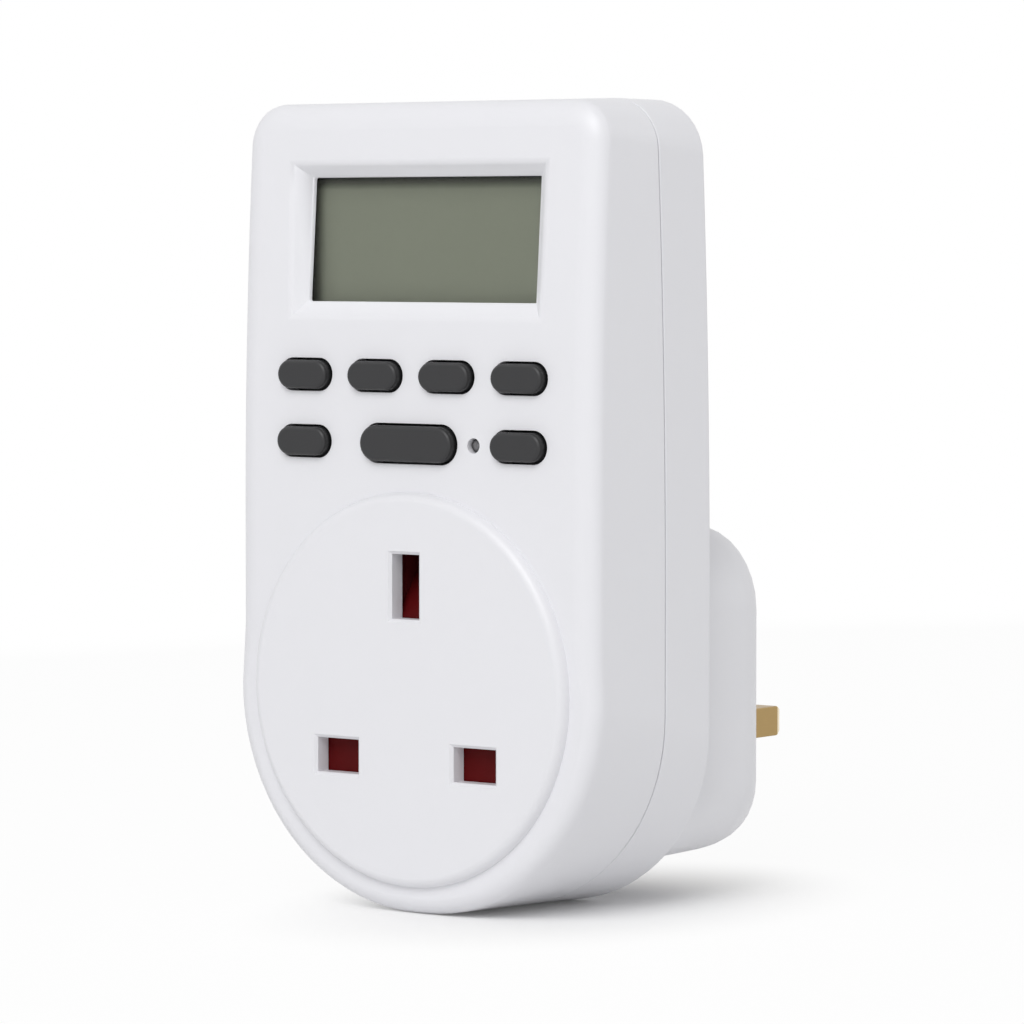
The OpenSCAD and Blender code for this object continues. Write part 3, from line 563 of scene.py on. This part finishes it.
def polished_acrylic(colour):
    """Clear acrylic sheet with an anti-glare coat: nearly invisible, brighter at a glance."""
    material, tree, place = new_finish("polished_acrylic")
    ripple = noise(tree, place, per_metre(14.0), detail=1.0)
    normal = relief(tree, ripple, depth_mm=0.01)
    mirror = add(tree, "ShaderNodeFresnel", {"IOR": 1.18, "Normal": normal})
    clear = add(tree, "ShaderNodeBsdfTransparent", {"Color": shade(colour, 1.0)})
    gloss = principled(
        tree, {"Base Color": WHITE, "Metallic": 1.0, "Roughness": 0.06, "Normal": normal}
    )
    sheet = add(
        tree,
        "ShaderNodeMixShader",
        {0: mirror.outputs["Fac"], 1: clear.outputs["BSDF"], 2: gloss},
    )
    return surfaced(material, sheet.outputs["Shader"])


def frosted_light_guide(colour, centre):
    """Smoked acrylic rod with a ground end: milky in the middle, a nearly black painted shade at
    its rim.
    """
    material, tree, place = new_finish("frosted_light_guide")
    radius = distance(tree, place, (-centre.x, 0.0, -centre.z), (1.0, 0.0, 1.0))
    # painted shade: the end darkens towards its rim, where it sinks into its hole
    rim_shade = remap(tree, radius, (MILKY_R, RIM_SHADE_R), (0.0, 1.0))
    speckle = add(
        tree,
        "ShaderNodeTexVoronoi",
        {"Vector": place, "Scale": per_metre(0.45), "Randomness": 1.0},
    ).outputs["Distance"]
    milk = blend(tree, speckle, shade(colour, 1.5), shade(colour, 0.6))
    sockets = {
        "Base Color": blend(tree, rim_shade, milk, shade(colour, 0.3)),
        "Roughness": 0.25,
        "IOR": 1.49,
        "Normal": relief(tree, speckle, depth_mm=0.05),
    }
    return surfaced(material, principled(tree, sockets))


# ---- Modelling ----


def only(piece):
    """Selects one object and nothing else."""
    bpy.ops.object.select_all(action="DESELECT")
    piece.select_set(True)
    bpy.context.view_layer.objects.active = piece


def start_edit(piece):
    only(piece)
    bpy.ops.object.mode_set(mode="EDIT")


def end_edit():
    bpy.ops.object.mode_set(mode="OBJECT")


def pick(piece, kind, test):
    """In edit mode, selects the vertices, edges or faces that pass a test."""
    bpy.ops.mesh.select_mode(type=kind)
    bpy.ops.mesh.select_all(action="DESELECT")
    shape = bmesh.from_edit_mesh(piece.data)
    parts = {"VERT": shape.verts, "EDGE": shape.edges, "FACE": shape.faces}[kind]
    found = [part for part in parts if test(part)]
    if not found:
        raise RuntimeError(f"{piece.name}: nothing to select")
    for part in found:
        part.select_set(True)
    shape.select_flush_mode()
    bmesh.update_edit_mesh(piece.data)


def ahead(depth):
    """A test for edges and faces that lie wholly at a depth or in front of it."""
    return lambda part: all(v.co.y < depth + TOUCH for v in part.verts)


def behind(depth):
    """A test for edges and faces that lie wholly at a depth or behind it."""
    return lambda part: all(v.co.y > depth - TOUCH for v in part.verts)


def looking_back(least, depth):
    """A test for faces that look back, with their middle behind a depth."""
    return lambda face: face.normal.y > least and face.calc_center_median().y > depth


def soften(piece, test, size, segments):
    """In edit mode, rounds the edges that pass a test."""
    pick(piece, "EDGE", test)
    bpy.ops.mesh.bevel(offset=size, segments=segments, affect="EDGES")


def extrude(offset):
    """Extrudes the selected face by an offset in metres."""
    bpy.ops.mesh.extrude_region_move(TRANSFORM_OT_translate={"value": offset})


def middle(edge):
    """The point half way along an edge."""
    return (edge.verts[0].co + edge.verts[1].co) / 2


def within(point, low, high):
    """True if a point lies in a box."""
    return all(a <= p <= b for a, p, b in zip(low, point, high))


def merged_copy(node, name):
    """A copy of a CAD node with its loose triangles joined and its flat areas made whole."""
    piece = bpy.data.objects.new(name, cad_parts[node].data.copy())
    bpy.context.scene.collection.objects.link(piece)
    only(piece)
    bpy.ops.mesh.customdata_custom_splitnormals_clear()
    start_edit(piece)
    bpy.ops.mesh.select_all(action="SELECT")
    bpy.ops.mesh.remove_doubles(threshold=WELD)
    bpy.ops.mesh.dissolve_limited(angle_limit=COPLANAR)
    end_edit()
    return piece


def settle(piece):
    """Puts a new piece's place, turn and scale into its mesh."""
    only(piece)
    bpy.ops.object.transform_apply(location=True, rotation=True, scale=True)


def disc(name, points, radius, place, turn):
    """A flat round face, from which a piece is drawn out."""
    bpy.ops.object.select_all(action="DESELECT")
    bpy.ops.mesh.primitive_circle_add(
        vertices=points, radius=radius, fill_type="NGON", location=place, rotation=turn
    )
    piece = bpy.context.object
    piece.name = piece.data.name = name
    settle(piece)
    return piece


def round_edges(piece, size, segments, limit):
    """Rounds every edge that is sharper than a limit in degrees, by an applied bevel."""
    only(piece)
    bevel = piece.modifiers.new("edges", "BEVEL")
    bevel.width = size
    bevel.segments = segments
    bevel.limit_method = "ANGLE"
    bevel.angle_limit = math.radians(limit)
    bpy.ops.object.modifier_apply(modifier=bevel.name)


def outward(piece):
    """Turns every face outwards."""
    start_edit(piece)
    bpy.ops.mesh.select_all(action="SELECT")
    bpy.ops.mesh.normals_make_consistent(inside=False)
    end_edit()


def complete(piece, body, finish, nodes, smooth=32):
    """Shades a piece, gives it its finish and places it in the frame.

    Edges that turn by more than smooth degrees stay sharp.
    """
    only(piece)
    bpy.ops.object.shade_smooth_by_angle(angle=math.radians(smooth))
    weighted = piece.modifiers.new("shading", "WEIGHTED_NORMAL")
    weighted.keep_sharp = True
    bpy.ops.object.modifier_apply(modifier=weighted.name)
    piece.data.materials.clear()
    piece.data.materials.append(finish)
    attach(piece, body)
    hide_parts(*nodes)


def second_finish(piece, finish, test):
    """Gives the faces of a piece that pass a test a finish of their own."""
    piece.data.materials.append(finish)
    piece.active_material_index = len(piece.data.materials) - 1
    start_edit(piece)
    pick(piece, "FACE", test)
    bpy.ops.object.material_slot_assign()
    end_edit()


def refinish(names, finish):
    """Gives CAD nodes that keep their shape a better finish."""
    for name in names:
        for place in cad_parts[name].material_slots:
            place.material = finish


def aimed(place, target):
    """The turn of a lamp or a camera at a place that looks at a target."""
    return (Vector(target) - Vector(place)).to_track_quat("-Z", "Y").to_euler()


# ---- Settings ----


def length(name, description, default_mm):
    """A length that a user can change, in the scene's units."""
    return FloatProperty(
        name=name,
        description=description,
        default=default_mm * MM,
        min=0.0,
        unit="LENGTH",
        precision=5,
    )


def amount(name, description, default):
    """A power, strength or share that a user can change."""
    return FloatProperty(name=name, description=description, default=default, min=0.0)


def colour(name, description, code):
    """A colour that a user can change."""
    return FloatVectorProperty(
        name=name,
        description=description,
        default=linear(code),
        min=0.0,
        max=1.0,
        subtype="COLOR",
    )


class CaseSettings(PropertyGroup):
    """The two case mouldings."""

    tint: colour("Case colour", "Colour of the case mouldings", "#EAEAEE")
    window_corner: length("Window corners", "Radius of the corners of the display opening", 0.3)
    window_edge: length("Window edge", "Rounding of the inner edge of the bevelled surround", 0.22)
    funnel_edge: length("Surround edge", "Rounding of the outer edge of the surround", 0.6)


class DisplaySettings(PropertyGroup):
    """The display and the lamp beside the wide key."""

    film: colour("Film colour", "Colour of the unlit display film", "#98988C")
    lens: colour("Lens tint", "Tint of the clear lens", "#F6F8F6")
    lamp: colour("Light guide colour", "Colour of the smoked light guide", "#6E6D70")
    lamp_deep: length("Light guide depth", "How far the light guide is sunk in its hole", 0.6)
    lamp_edge: length("Light guide edge", "Rounding of the end of the light guide", 0.3)


class KeySettings(PropertyGroup):
    """The seven keys."""

    tint: colour("Key colour", "Colour of the key caps", "#2A2A2C")
    # painted shade: the sides of each cap are made darker than its face, for the shade in the gap
    # round the key
    side_shade: amount("Skirt shade", "How dark the sides of a cap are beside its face", 0.25)
    flange: length("Flange", "Width of the flange that keeps a key in the case", 1.0)
    flange_t: length("Flange thickness", "Thickness of the flange", 0.8)
    cap: length("Cap height", "Height of a cap in front of its flange", 3.2)
    edge: length("Edge", "Rounding of the front edge of a cap", 0.5)
    taper: length("Taper", "How much narrower a cap is at its face, on each side", 0.12)
    crown: length("Crown", "How far the crowned face stands proud of its rim", 0.25)
    stem_inset: length("Stem inset", "Distance from the edge of the flange to the stem", 2.1)


class MetalSettings(PropertyGroup):
    """Shutter, pins, contacts, screws and return springs."""

    shutter: colour("Shutter colour", "Colour of the safety shutter", "#560A0C")
    brass: colour("Brass colour", "Colour of the pins and contacts", "#AC9161")
    steel: colour("Steel colour", "Colour of the screws and springs", "#C6C7CA")
    milled: colour("Milled brass", "Colour of the milled tips of the pins", "#EAD9B4")
    tip: length("Tip", "How far the milled end of a pin stands beyond its plain length", 0.3)
    lead: length("Lead-in", "Length of the lead-in of the earth pin before it is drawn back", 3.0)
    lead_extra: length("Longer lead-in", "How much further back that lead-in starts", 2.7)
    lead_end: amount("End height", "Height of the end of the earth pin, as a share", 0.69)
    pin_edge: length("Pin edge", "Rounding of the edges of the pins", 0.15)
    head_r: length("Screw head", "Radius of the case screw heads", 2.5)
    head_t: length("Head thickness", "Thickness of the case screw heads", 1.8)
    head_dome: length("Head rounding", "Rounding of the rim of the screw heads", 0.8)
    shank_r: length("Screw shank", "Radius of the case screw shanks", 1.2)
    shank_l: length("Shank length", "Length of the case screw shanks", 14.0)
    recess_w: length("Drive width", "Width across the drive recess", 2.9)
    recess_t: length("Drive slot", "Width of each arm of the drive recess", 0.65)
    recess_deep: length("Drive depth", "Depth of the drive recess", 1.2)
    spring_travel: length("Spring travel", "How much the return springs shorten", 8.65)


class StageSettings(PropertyGroup):
    """Floor, light and camera."""

    around: amount("Room light", "Light from all round", 0.52)
    main: amount("Main lamp", "Power of the main lamp", 12.6)
    back: amount("Back lamp", "Power of the lamp behind", 1.5)
    lift: amount("Floor lift", "How far the floor is lifted to white for the camera", 0.05)


# ---- Pieces ----


class TIMER_OT_front_shell(Operator):
    """Front moulding: socket boss, bevelled display surround and key holes, with softened edges"""

    bl_idname = "timer_switch.front_shell"
    bl_label = "Front shell"

    def execute(self, context):
        settings = context.scene.timer_case
        shell = merged_copy("front_case", "front_shell")
        low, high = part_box("display_lens")
        window = (
            (low.x - SURROUND, low.y - SURROUND_AHEAD, low.z - SURROUND),
            (high.x + SURROUND, low.y + SURROUND_BEHIND, high.z + SURROUND),
        )

        def sharp(edge):
            """True for an edge near the lens at which the surface turns."""
            return (
                len(edge.link_faces) == 2
                and edge.calc_face_angle(0.0) > SURROUND_SHARP
                and within(middle(edge), *window)
            )

        def corner(edge):
            """True for an edge that runs from front to back between two walls of the opening."""
            least, most = OPENING_WALL
            along = (edge.verts[0].co - edge.verts[1].co).normalized()
            return (
                sharp(edge)
                and not edge.is_convex
                and all(least < face.normal.y < most for face in edge.link_faces)
                and abs(along.y) > DEPTHWISE
            )

        def between(*kinds):
            """A test for outer edges at which faces of two kinds meet."""

            def test(edge):
                tilts = [face.normal.y for face in edge.link_faces]
                return (
                    sharp(edge)
                    and edge.is_convex
                    and all(any(least <= y <= most for y in tilts) for least, most in kinds)
                )

            return test

        start_edit(shell)
        soften(shell, corner, settings.window_corner, segments=4)
        soften(shell, between(BEVELLED, OPENING_WALL), settings.window_edge, segments=3)
        soften(shell, between(FLAT_FRONT, BEVELLED), settings.funnel_edge, segments=4)
        end_edit()
        finish = spark_eroded_polycarbonate(settings.tint)
        complete(shell, "case", finish, ["front_case"])
        return {"FINISHED"}


class TIMER_OT_rear_shell(Operator):
    """Rear moulding: body, plug block and screw recesses"""

    bl_idname = "timer_switch.rear_shell"
    bl_label = "Rear shell"

    def execute(self, context):
        shell = merged_copy("rear_case", "rear_shell")
        finish = bpy.data.materials["spark_eroded_polycarbonate"]
        complete(shell, "case", finish, ["rear_case"], smooth=20)
        return {"FINISHED"}


class TIMER_OT_display(Operator):
    """Display: finishes of the lens, the panel, its holder and strips, and the key mat"""

    bl_idname = "timer_switch.display"
    bl_label = "Display"

    def execute(self, context):
        settings = context.scene.timer_display
        refinish(["display_lens"], polished_acrylic(settings.lens))
        low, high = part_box("lcd_panel")
        refinish(["lcd_panel"], polariser_film(settings.film, left=low.x, top=high.z))
        refinish(["lcd_holder"], moulded_nylon(linear("#1B1B1C")))
        refinish(["zebra_strips", "key_mat"], silicone_rubber(linear("#58585A")))
        return {"FINISHED"}


class TIMER_OT_light_guide(Operator):
    """Status lamp: a smoked light guide whose ground end shows in the case front"""

    bl_idname = "timer_switch.light_guide"
    bl_label = "Light guide"

    def execute(self, context):
        settings = context.scene.timer_display
        guide = merged_copy("status_lamp", "light_guide")
        low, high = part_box("status_lamp")
        start_edit(guide)
        pick(guide, "VERT", lambda v: v.co.y < low.y + TOUCH)
        bpy.ops.transform.translate(value=(0, settings.lamp_deep, 0))
        soften(guide, ahead(low.y + settings.lamp_deep), settings.lamp_edge, segments=4)
        end_edit()
        finish = frosted_light_guide(settings.lamp, centre=(low + high) / 2)
        complete(guide, "case", finish, ["status_lamp"])
        return {"FINISHED"}


class TIMER_OT_keys(Operator):
    """Keys: a pill-shaped cap with a soft edge, a flange and a stem"""

    bl_idname = "timer_switch.keys"
    bl_label = "Keys"

    def execute(self, context):
        settings = context.scene.timer_keys
        face = satin_abs("satin_abs", settings.tint)
        # the sides of the caps get the same ABS made darker, as painted shade
        side_shade = satin_abs("satin_abs_painted_shade", shade(settings.tint, settings.side_shade))
        for node in KEY_NODES:
            cap = self.model(node, settings)
            complete(cap, f"{node}_body", face, [node])
            second_finish(cap, side_shade, lambda f: abs(f.normal.y) < CAP_SIDE)
        return {"FINISHED"}

    def model(self, node, settings):
        """One key, from the flange forward to the cap and back to the stem."""
        low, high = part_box(node)
        centre = (low + high) / 2
        width, height = high.x - low.x, high.z - low.z
        flange_back = low.y + settings.cap + settings.flange_t
        cap = disc(
            node.replace("key", "cap"),
            CAP_POINTS,
            height / 2,
            place=(centre.x, flange_back, centre.z),
            turn=(math.pi / 2, math.pi / CAP_POINTS, 0),
        )
        start_edit(cap)
        for side in (-1, 1):
            pick(cap, "VERT", lambda v: side * (v.co.x - centre.x) > 0)
            bpy.ops.transform.translate(value=(side * (width - height) / 2, 0, 0))
        pick(cap, "FACE", lambda f: True)
        extrude((0, -settings.flange_t, 0))
        bpy.ops.mesh.inset(thickness=settings.flange)
        extrude((0, -settings.cap - settings.crown, 0))
        wide, tall = (side - 2 * settings.flange for side in (width, height))
        bpy.ops.transform.resize(
            value=(1 - 2 * settings.taper / wide, 1, 1 - 2 * settings.taper / tall),
            center_override=centre,
        )
        soften(cap, ahead(low.y), settings.edge, segments=5)
        pick(cap, "FACE", behind(flange_back))
        bpy.ops.mesh.inset(thickness=settings.stem_inset)
        extrude((0, high.y - flange_back, 0))
        end_edit()
        outward(cap)
        return cap


class TIMER_OT_shutter(Operator):
    """Safety shutter behind the live and neutral apertures: finish"""

    bl_idname = "timer_switch.shutter"
    bl_label = "Shutter"

    def execute(self, context):
        settings = context.scene.timer_metal
        refinish(["shutter"], moulded_acetal(settings.shutter))
        return {"FINISHED"}


class TIMER_OT_pins(Operator):
    """Plug pins with eased edges, and the sleeves on the live and neutral pins"""

    bl_idname = "timer_switch.pins"
    bl_label = "Pins"

    def execute(self, context):
        settings = context.scene.timer_metal
        brass = extruded_brass(settings.brass)
        milled = milled_brass(settings.milled)
        nylon = bpy.data.materials["moulded_nylon"]
        for name in ("live", "neutral", "earth"):
            pin = merged_copy(f"{name}_pin", f"{name}_blade")
            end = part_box(f"{name}_pin")[1].y
            start_edit(pin)
            if name == "earth":
                self.lengthen_lead(pin, end, settings)
            else:
                pick(pin, "FACE", looking_back(FLAT, end - MM))
                bpy.ops.transform.translate(value=(0, settings.tip, 0))
            end_edit()
            round_edges(pin, settings.pin_edge, segments=2, limit=15)
            complete(pin, "case", brass, [f"{name}_pin"])
            second_finish(pin, milled, looking_back(MILLED_SLOPE, end - MILLED))
        for name in ("live", "neutral"):
            sleeve = merged_copy(f"{name}_sleeve", f"{name}_jacket")
            complete(sleeve, "case", nylon, [f"{name}_sleeve"])
        return {"FINISHED"}

    def lengthen_lead(self, pin, end, settings):
        """Starts the lead-in of the earth pin further back and makes its end smaller."""
        start = end - settings.lead
        pick(pin, "VERT", lambda v: abs(v.co.y - start) < LEAD_NEAR)
        bpy.ops.transform.translate(value=(0, -settings.lead_extra, 0))
        low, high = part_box("earth_pin")
        pick(pin, "FACE", looking_back(FLAT, end - MM))
        bpy.ops.transform.resize(
            value=(1, 1, settings.lead_end), center_override=(0, end, (low.z + high.z) / 2)
        )


class TIMER_OT_case_screws(Operator):
    """Case screws: domed heads with a cross recess, sunk in the back of the case"""

    bl_idname = "timer_switch.case_screws"
    bl_label = "Case screws"

    def execute(self, context):
        settings = context.scene.timer_metal
        finish = zinc_plated_steel(settings.steel)
        low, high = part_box("case_screws")
        r = settings.head_r
        places = [(low.x + r, high.z - r), (high.x - r, high.z - r), (0.0, low.z + r)]
        for number, (x, z) in enumerate(places, 1):
            screw = self.model(f"case_screw_{number}", x, self.head_back(x, z), z, settings)
            complete(screw, "case", finish, ["case_screws"])
        refinish(["small_screws", "crystal", "backup_cell"], finish)
        return {"FINISHED"}

    def head_back(self, x, z):
        """Depth of the outer end of the screw at a place."""
        return max(
            v.co.y
            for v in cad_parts["case_screws"].data.vertices
            if math.hypot(v.co.x - x, v.co.z - z) < SCREW_REACH
        )

    def model(self, name, x, y, z, settings):
        """One screw, from its seat back to the head and forward to the tip."""
        seat = y - settings.head_t
        tip = seat - settings.shank_l
        screw = disc(
            name, SCREW_POINTS, settings.head_r, place=(x, seat, z), turn=(-math.pi / 2, 0, 0)
        )
        start_edit(screw)
        pick(screw, "FACE", lambda f: True)
        extrude((0, settings.head_t, 0))
        soften(screw, behind(y), settings.head_dome, segments=5)
        pick(screw, "FACE", ahead(seat))
        bpy.ops.mesh.inset(thickness=settings.head_r - settings.shank_r)
        extrude((0, -settings.shank_l, 0))
        soften(screw, ahead(tip), settings.shank_r / 2, segments=2)
        end_edit()
        outward(screw)
        for turn in (0.0, math.pi / 2):
            self.cut_arm(screw, (x, y, z), turn, settings)
        return screw

    def cut_arm(self, screw, at, turn, settings):
        """Cuts one tapered arm of the drive recess."""
        x, y, z = at
        deep = settings.recess_deep
        bpy.ops.object.select_all(action="DESELECT")
        bpy.ops.mesh.primitive_cube_add(size=1.0, location=at, rotation=(0, turn, 0))
        arm = bpy.context.object
        arm.scale = (settings.recess_w, 2 * deep, settings.recess_t)
        settle(arm)
        start_edit(arm)
        pick(arm, "FACE", lambda f: f.normal.y < -FLAT)
        bpy.ops.transform.resize(
            value=(DRIVE_FOOT, 1, DRIVE_FOOT), center_override=(x, y - deep, z)
        )
        end_edit()
        only(screw)
        cut = screw.modifiers.new("drive", "BOOLEAN")
        cut.operation = "DIFFERENCE"
        cut.solver = "EXACT"
        cut.object = arm
        bpy.ops.object.modifier_apply(modifier=cut.name)
        bpy.data.objects.remove(arm)


class TIMER_OT_return_springs(Operator):
    """Return springs under the shutter, with a mesh of their own; on the timer they shorten as it
    slides down
    """

    bl_idname = "timer_switch.return_springs"
    bl_label = "Return springs"

    def execute(self, context):
        springs = merged_copy("shutter_springs", "return_springs")
        finish = bpy.data.materials["zinc_plated_steel"]
        complete(springs, "case", finish, ["shutter_springs"])
        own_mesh(springs)
        return {"FINISHED"}


class TIMER_OT_inner_parts(Operator):
    """Boards, components, contacts and straps inside the case: finishes"""

    bl_idname = "timer_switch.inner_parts"
    bl_label = "Inner parts"

    def execute(self, context):
        settings = context.scene.timer_metal
        chips = ["controller_chip", "rectifier_diodes", "board_link"]
        contacts = ["live_contact", "neutral_contact", "earth_contact"]
        straps = ["live_strap", "switched_strap", "neutral_strap", "earth_strap"]
        refinish(["display_board", "power_board"], solder_masked_board(linear("#1F6B45")))
        refinish(chips, black_epoxy(linear("#2A2A2C")))
        refinish(["relay"], relay_housing(linear("#2B3A55")))
        refinish(["film_capacitor"], dipped_epoxy(linear("#D9B23A")))
        refinish(["electrolytic_capacitor"], shrunk_pvc(linear("#2C2C38")))
        refinish(["dropper_resistor"], fired_ceramic(linear("#D8D2C0")))
        refinish(["contact_carrier"], glass_filled_nylon(linear("#5E1516")))
        refinish(["pin_retainer"], moulded_pbt(linear("#DDD8C8")))
        refinish(contacts, stamped_brass(settings.brass))
        refinish(straps, stamped_copper(linear("#D58E63")))
        return {"FINISHED"}


class TIMER_OT_stage(Operator):
    """Pale floor, soft light and the camera"""

    bl_idname = "timer_switch.stage"
    bl_label = "Stage"

    def execute(self, context):
        settings = context.scene.timer_stage
        self.floor(settings)
        self.room(context.scene, settings)
        self.lamp("main_lamp", MAIN_LAMP, settings.main)
        self.lamp("back_lamp", BACK_LAMP, settings.back)
        self.camera(context.scene)
        context.scene.view_settings.view_transform = "Standard"
        return {"FINISHED"}

    def floor(self, settings):
        """Paper that turns white for the camera, except in the contact shadow."""
        bpy.ops.object.select_all(action="DESELECT")
        bpy.ops.mesh.primitive_plane_add(size=FLOOR_SIZE, location=(0, 0, CAD_BOX[0].z))
        floor = bpy.context.object
        floor.name = "floor"
        settle(floor)
        material, tree, place = new_finish("matt_paper")
        fibres = noise(tree, place, per_metre(2.0))
        paper = blend(tree, fibres, *(shade(WHITE, factor) for factor in PAPER_SHADES))
        diffuse = add(tree, "ShaderNodeBsdfDiffuse", {"Color": paper})
        seen = self.seen(tree)
        strength = combine(tree, "MULTIPLY", seen, settings.lift)
        lift = add(tree, "ShaderNodeEmission", {"Strength": strength})
        near = add(tree, "ShaderNodeAddShader", {0: diffuse.outputs[0], 1: lift.outputs[0]})
        far = add(tree, "ShaderNodeEmission", {"Strength": 1.0})
        apart = distance(tree, place, SHADOW_SHIFT, SHADOW_SQUEEZE)
        outside = remap(tree, apart, SHADOW_FADE, (0.0, PAPER_WHITE), ease="SMOOTHSTEP")
        beyond = remap(tree, apart, HORIZON_FADE, (0.0, 1.0), ease="SMOOTHSTEP")
        away = combine(tree, "MAXIMUM", outside, beyond)
        share = combine(tree, "MULTIPLY", seen, away)
        sockets = {0: share, 1: near.outputs[0], 2: far.outputs[0]}
        paper_to_white = add(tree, "ShaderNodeMixShader", sockets)
        floor.data.materials.append(surfaced(material, paper_to_white.outputs[0]))

    def seen(self, tree):
        """1 for what the camera sees, straight or in metal and glass, and 0 for other light."""
        path = add(tree, "ShaderNodeLightPath").outputs
        direct = combine(tree, "MAXIMUM", path["Is Camera Ray"], path["Is Glossy Ray"])
        return combine(tree, "MAXIMUM", direct, path["Is Transmission Ray"])

    def room(self, scene, settings):
        """Light from all round, which the camera sees as white."""
        world = bpy.data.worlds.new("room")
        world.use_nodes = True
        tree = world.node_tree
        tree.nodes.clear()
        strength = remap(tree, self.seen(tree), (0.0, 1.0), (settings.around, 1.0))
        light = add(tree, "ShaderNodeBackground", {"Color": WHITE, "Strength": strength})
        add(tree, "ShaderNodeOutputWorld", {"Surface": light.outputs["Background"]})
        scene.world = world

    def lamp(self, name, place, power):
        """A round lamp that looks at the model."""
        bpy.ops.object.light_add(type="AREA", location=place)
        lamp = bpy.context.object
        lamp.name = name
        lamp.data.shape = "DISK"
        lamp.data.size = LAMP_SIZE
        lamp.data.energy = power
        lamp.rotation_euler = aimed(place, LAMP_TARGET)

    def camera(self, scene):
        """The camera that the scene is seen through."""
        bpy.ops.object.camera_add(location=CAMERA, rotation=aimed(CAMERA, CAMERA_TARGET))
        scene.camera = bpy.context.object
        scene.camera.data.lens = CAMERA_LENS
        scene.camera.data.sensor_width = CAMERA_SENSOR


SETTINGS = {
    "timer_case": CaseSettings,
    "timer_display": DisplaySettings,
    "timer_keys": KeySettings,
    "timer_metal": MetalSettings,
    "timer_stage": StageSettings,
}
OPERATORS = (
    TIMER_OT_front_shell,
    TIMER_OT_rear_shell,
    TIMER_OT_display,
    TIMER_OT_light_guide,
    TIMER_OT_keys,
    TIMER_OT_shutter,
    TIMER_OT_pins,
    TIMER_OT_case_screws,
    TIMER_OT_return_springs,
    TIMER_OT_inner_parts,
    TIMER_OT_stage,
)


class TIMER_PT_pieces(Panel):
    """Settings and pieces of the timer switch"""

    bl_idname = "TIMER_PT_pieces"
    bl_label = "Timer switch"
    bl_space_type = "VIEW_3D"
    bl_region_type = "UI"
    bl_category = "Timer switch"

    def draw(self, context):
        for name, group in SETTINGS.items():
            box = self.layout.box()
            for setting in group.__annotations__:
                box.prop(getattr(context.scene, name), setting)
        for operator in OPERATORS:
            self.layout.operator(operator.bl_idname)


def register():
    for group in SETTINGS.values():
        bpy.utils.register_class(group)
    for name, group in SETTINGS.items():
        setattr(bpy.types.Scene, name, PointerProperty(type=group))
    for operator in OPERATORS:
        bpy.utils.register_class(operator)
    bpy.utils.register_class(TIMER_PT_pieces)


def unregister():
    bpy.utils.unregister_class(TIMER_PT_pieces)
    for operator in reversed(OPERATORS):
        bpy.utils.unregister_class(operator)
    for name in SETTINGS:
        delattr(bpy.types.Scene, name)
    for group in SETTINGS.values():
        bpy.utils.unregister_class(group)


def main():
    register()
    for operator in OPERATORS:
        group, name = operator.bl_idname.split(".")
        getattr(getattr(bpy.ops, group), name)()
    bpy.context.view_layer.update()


if __name__ == "__main__":
    main()
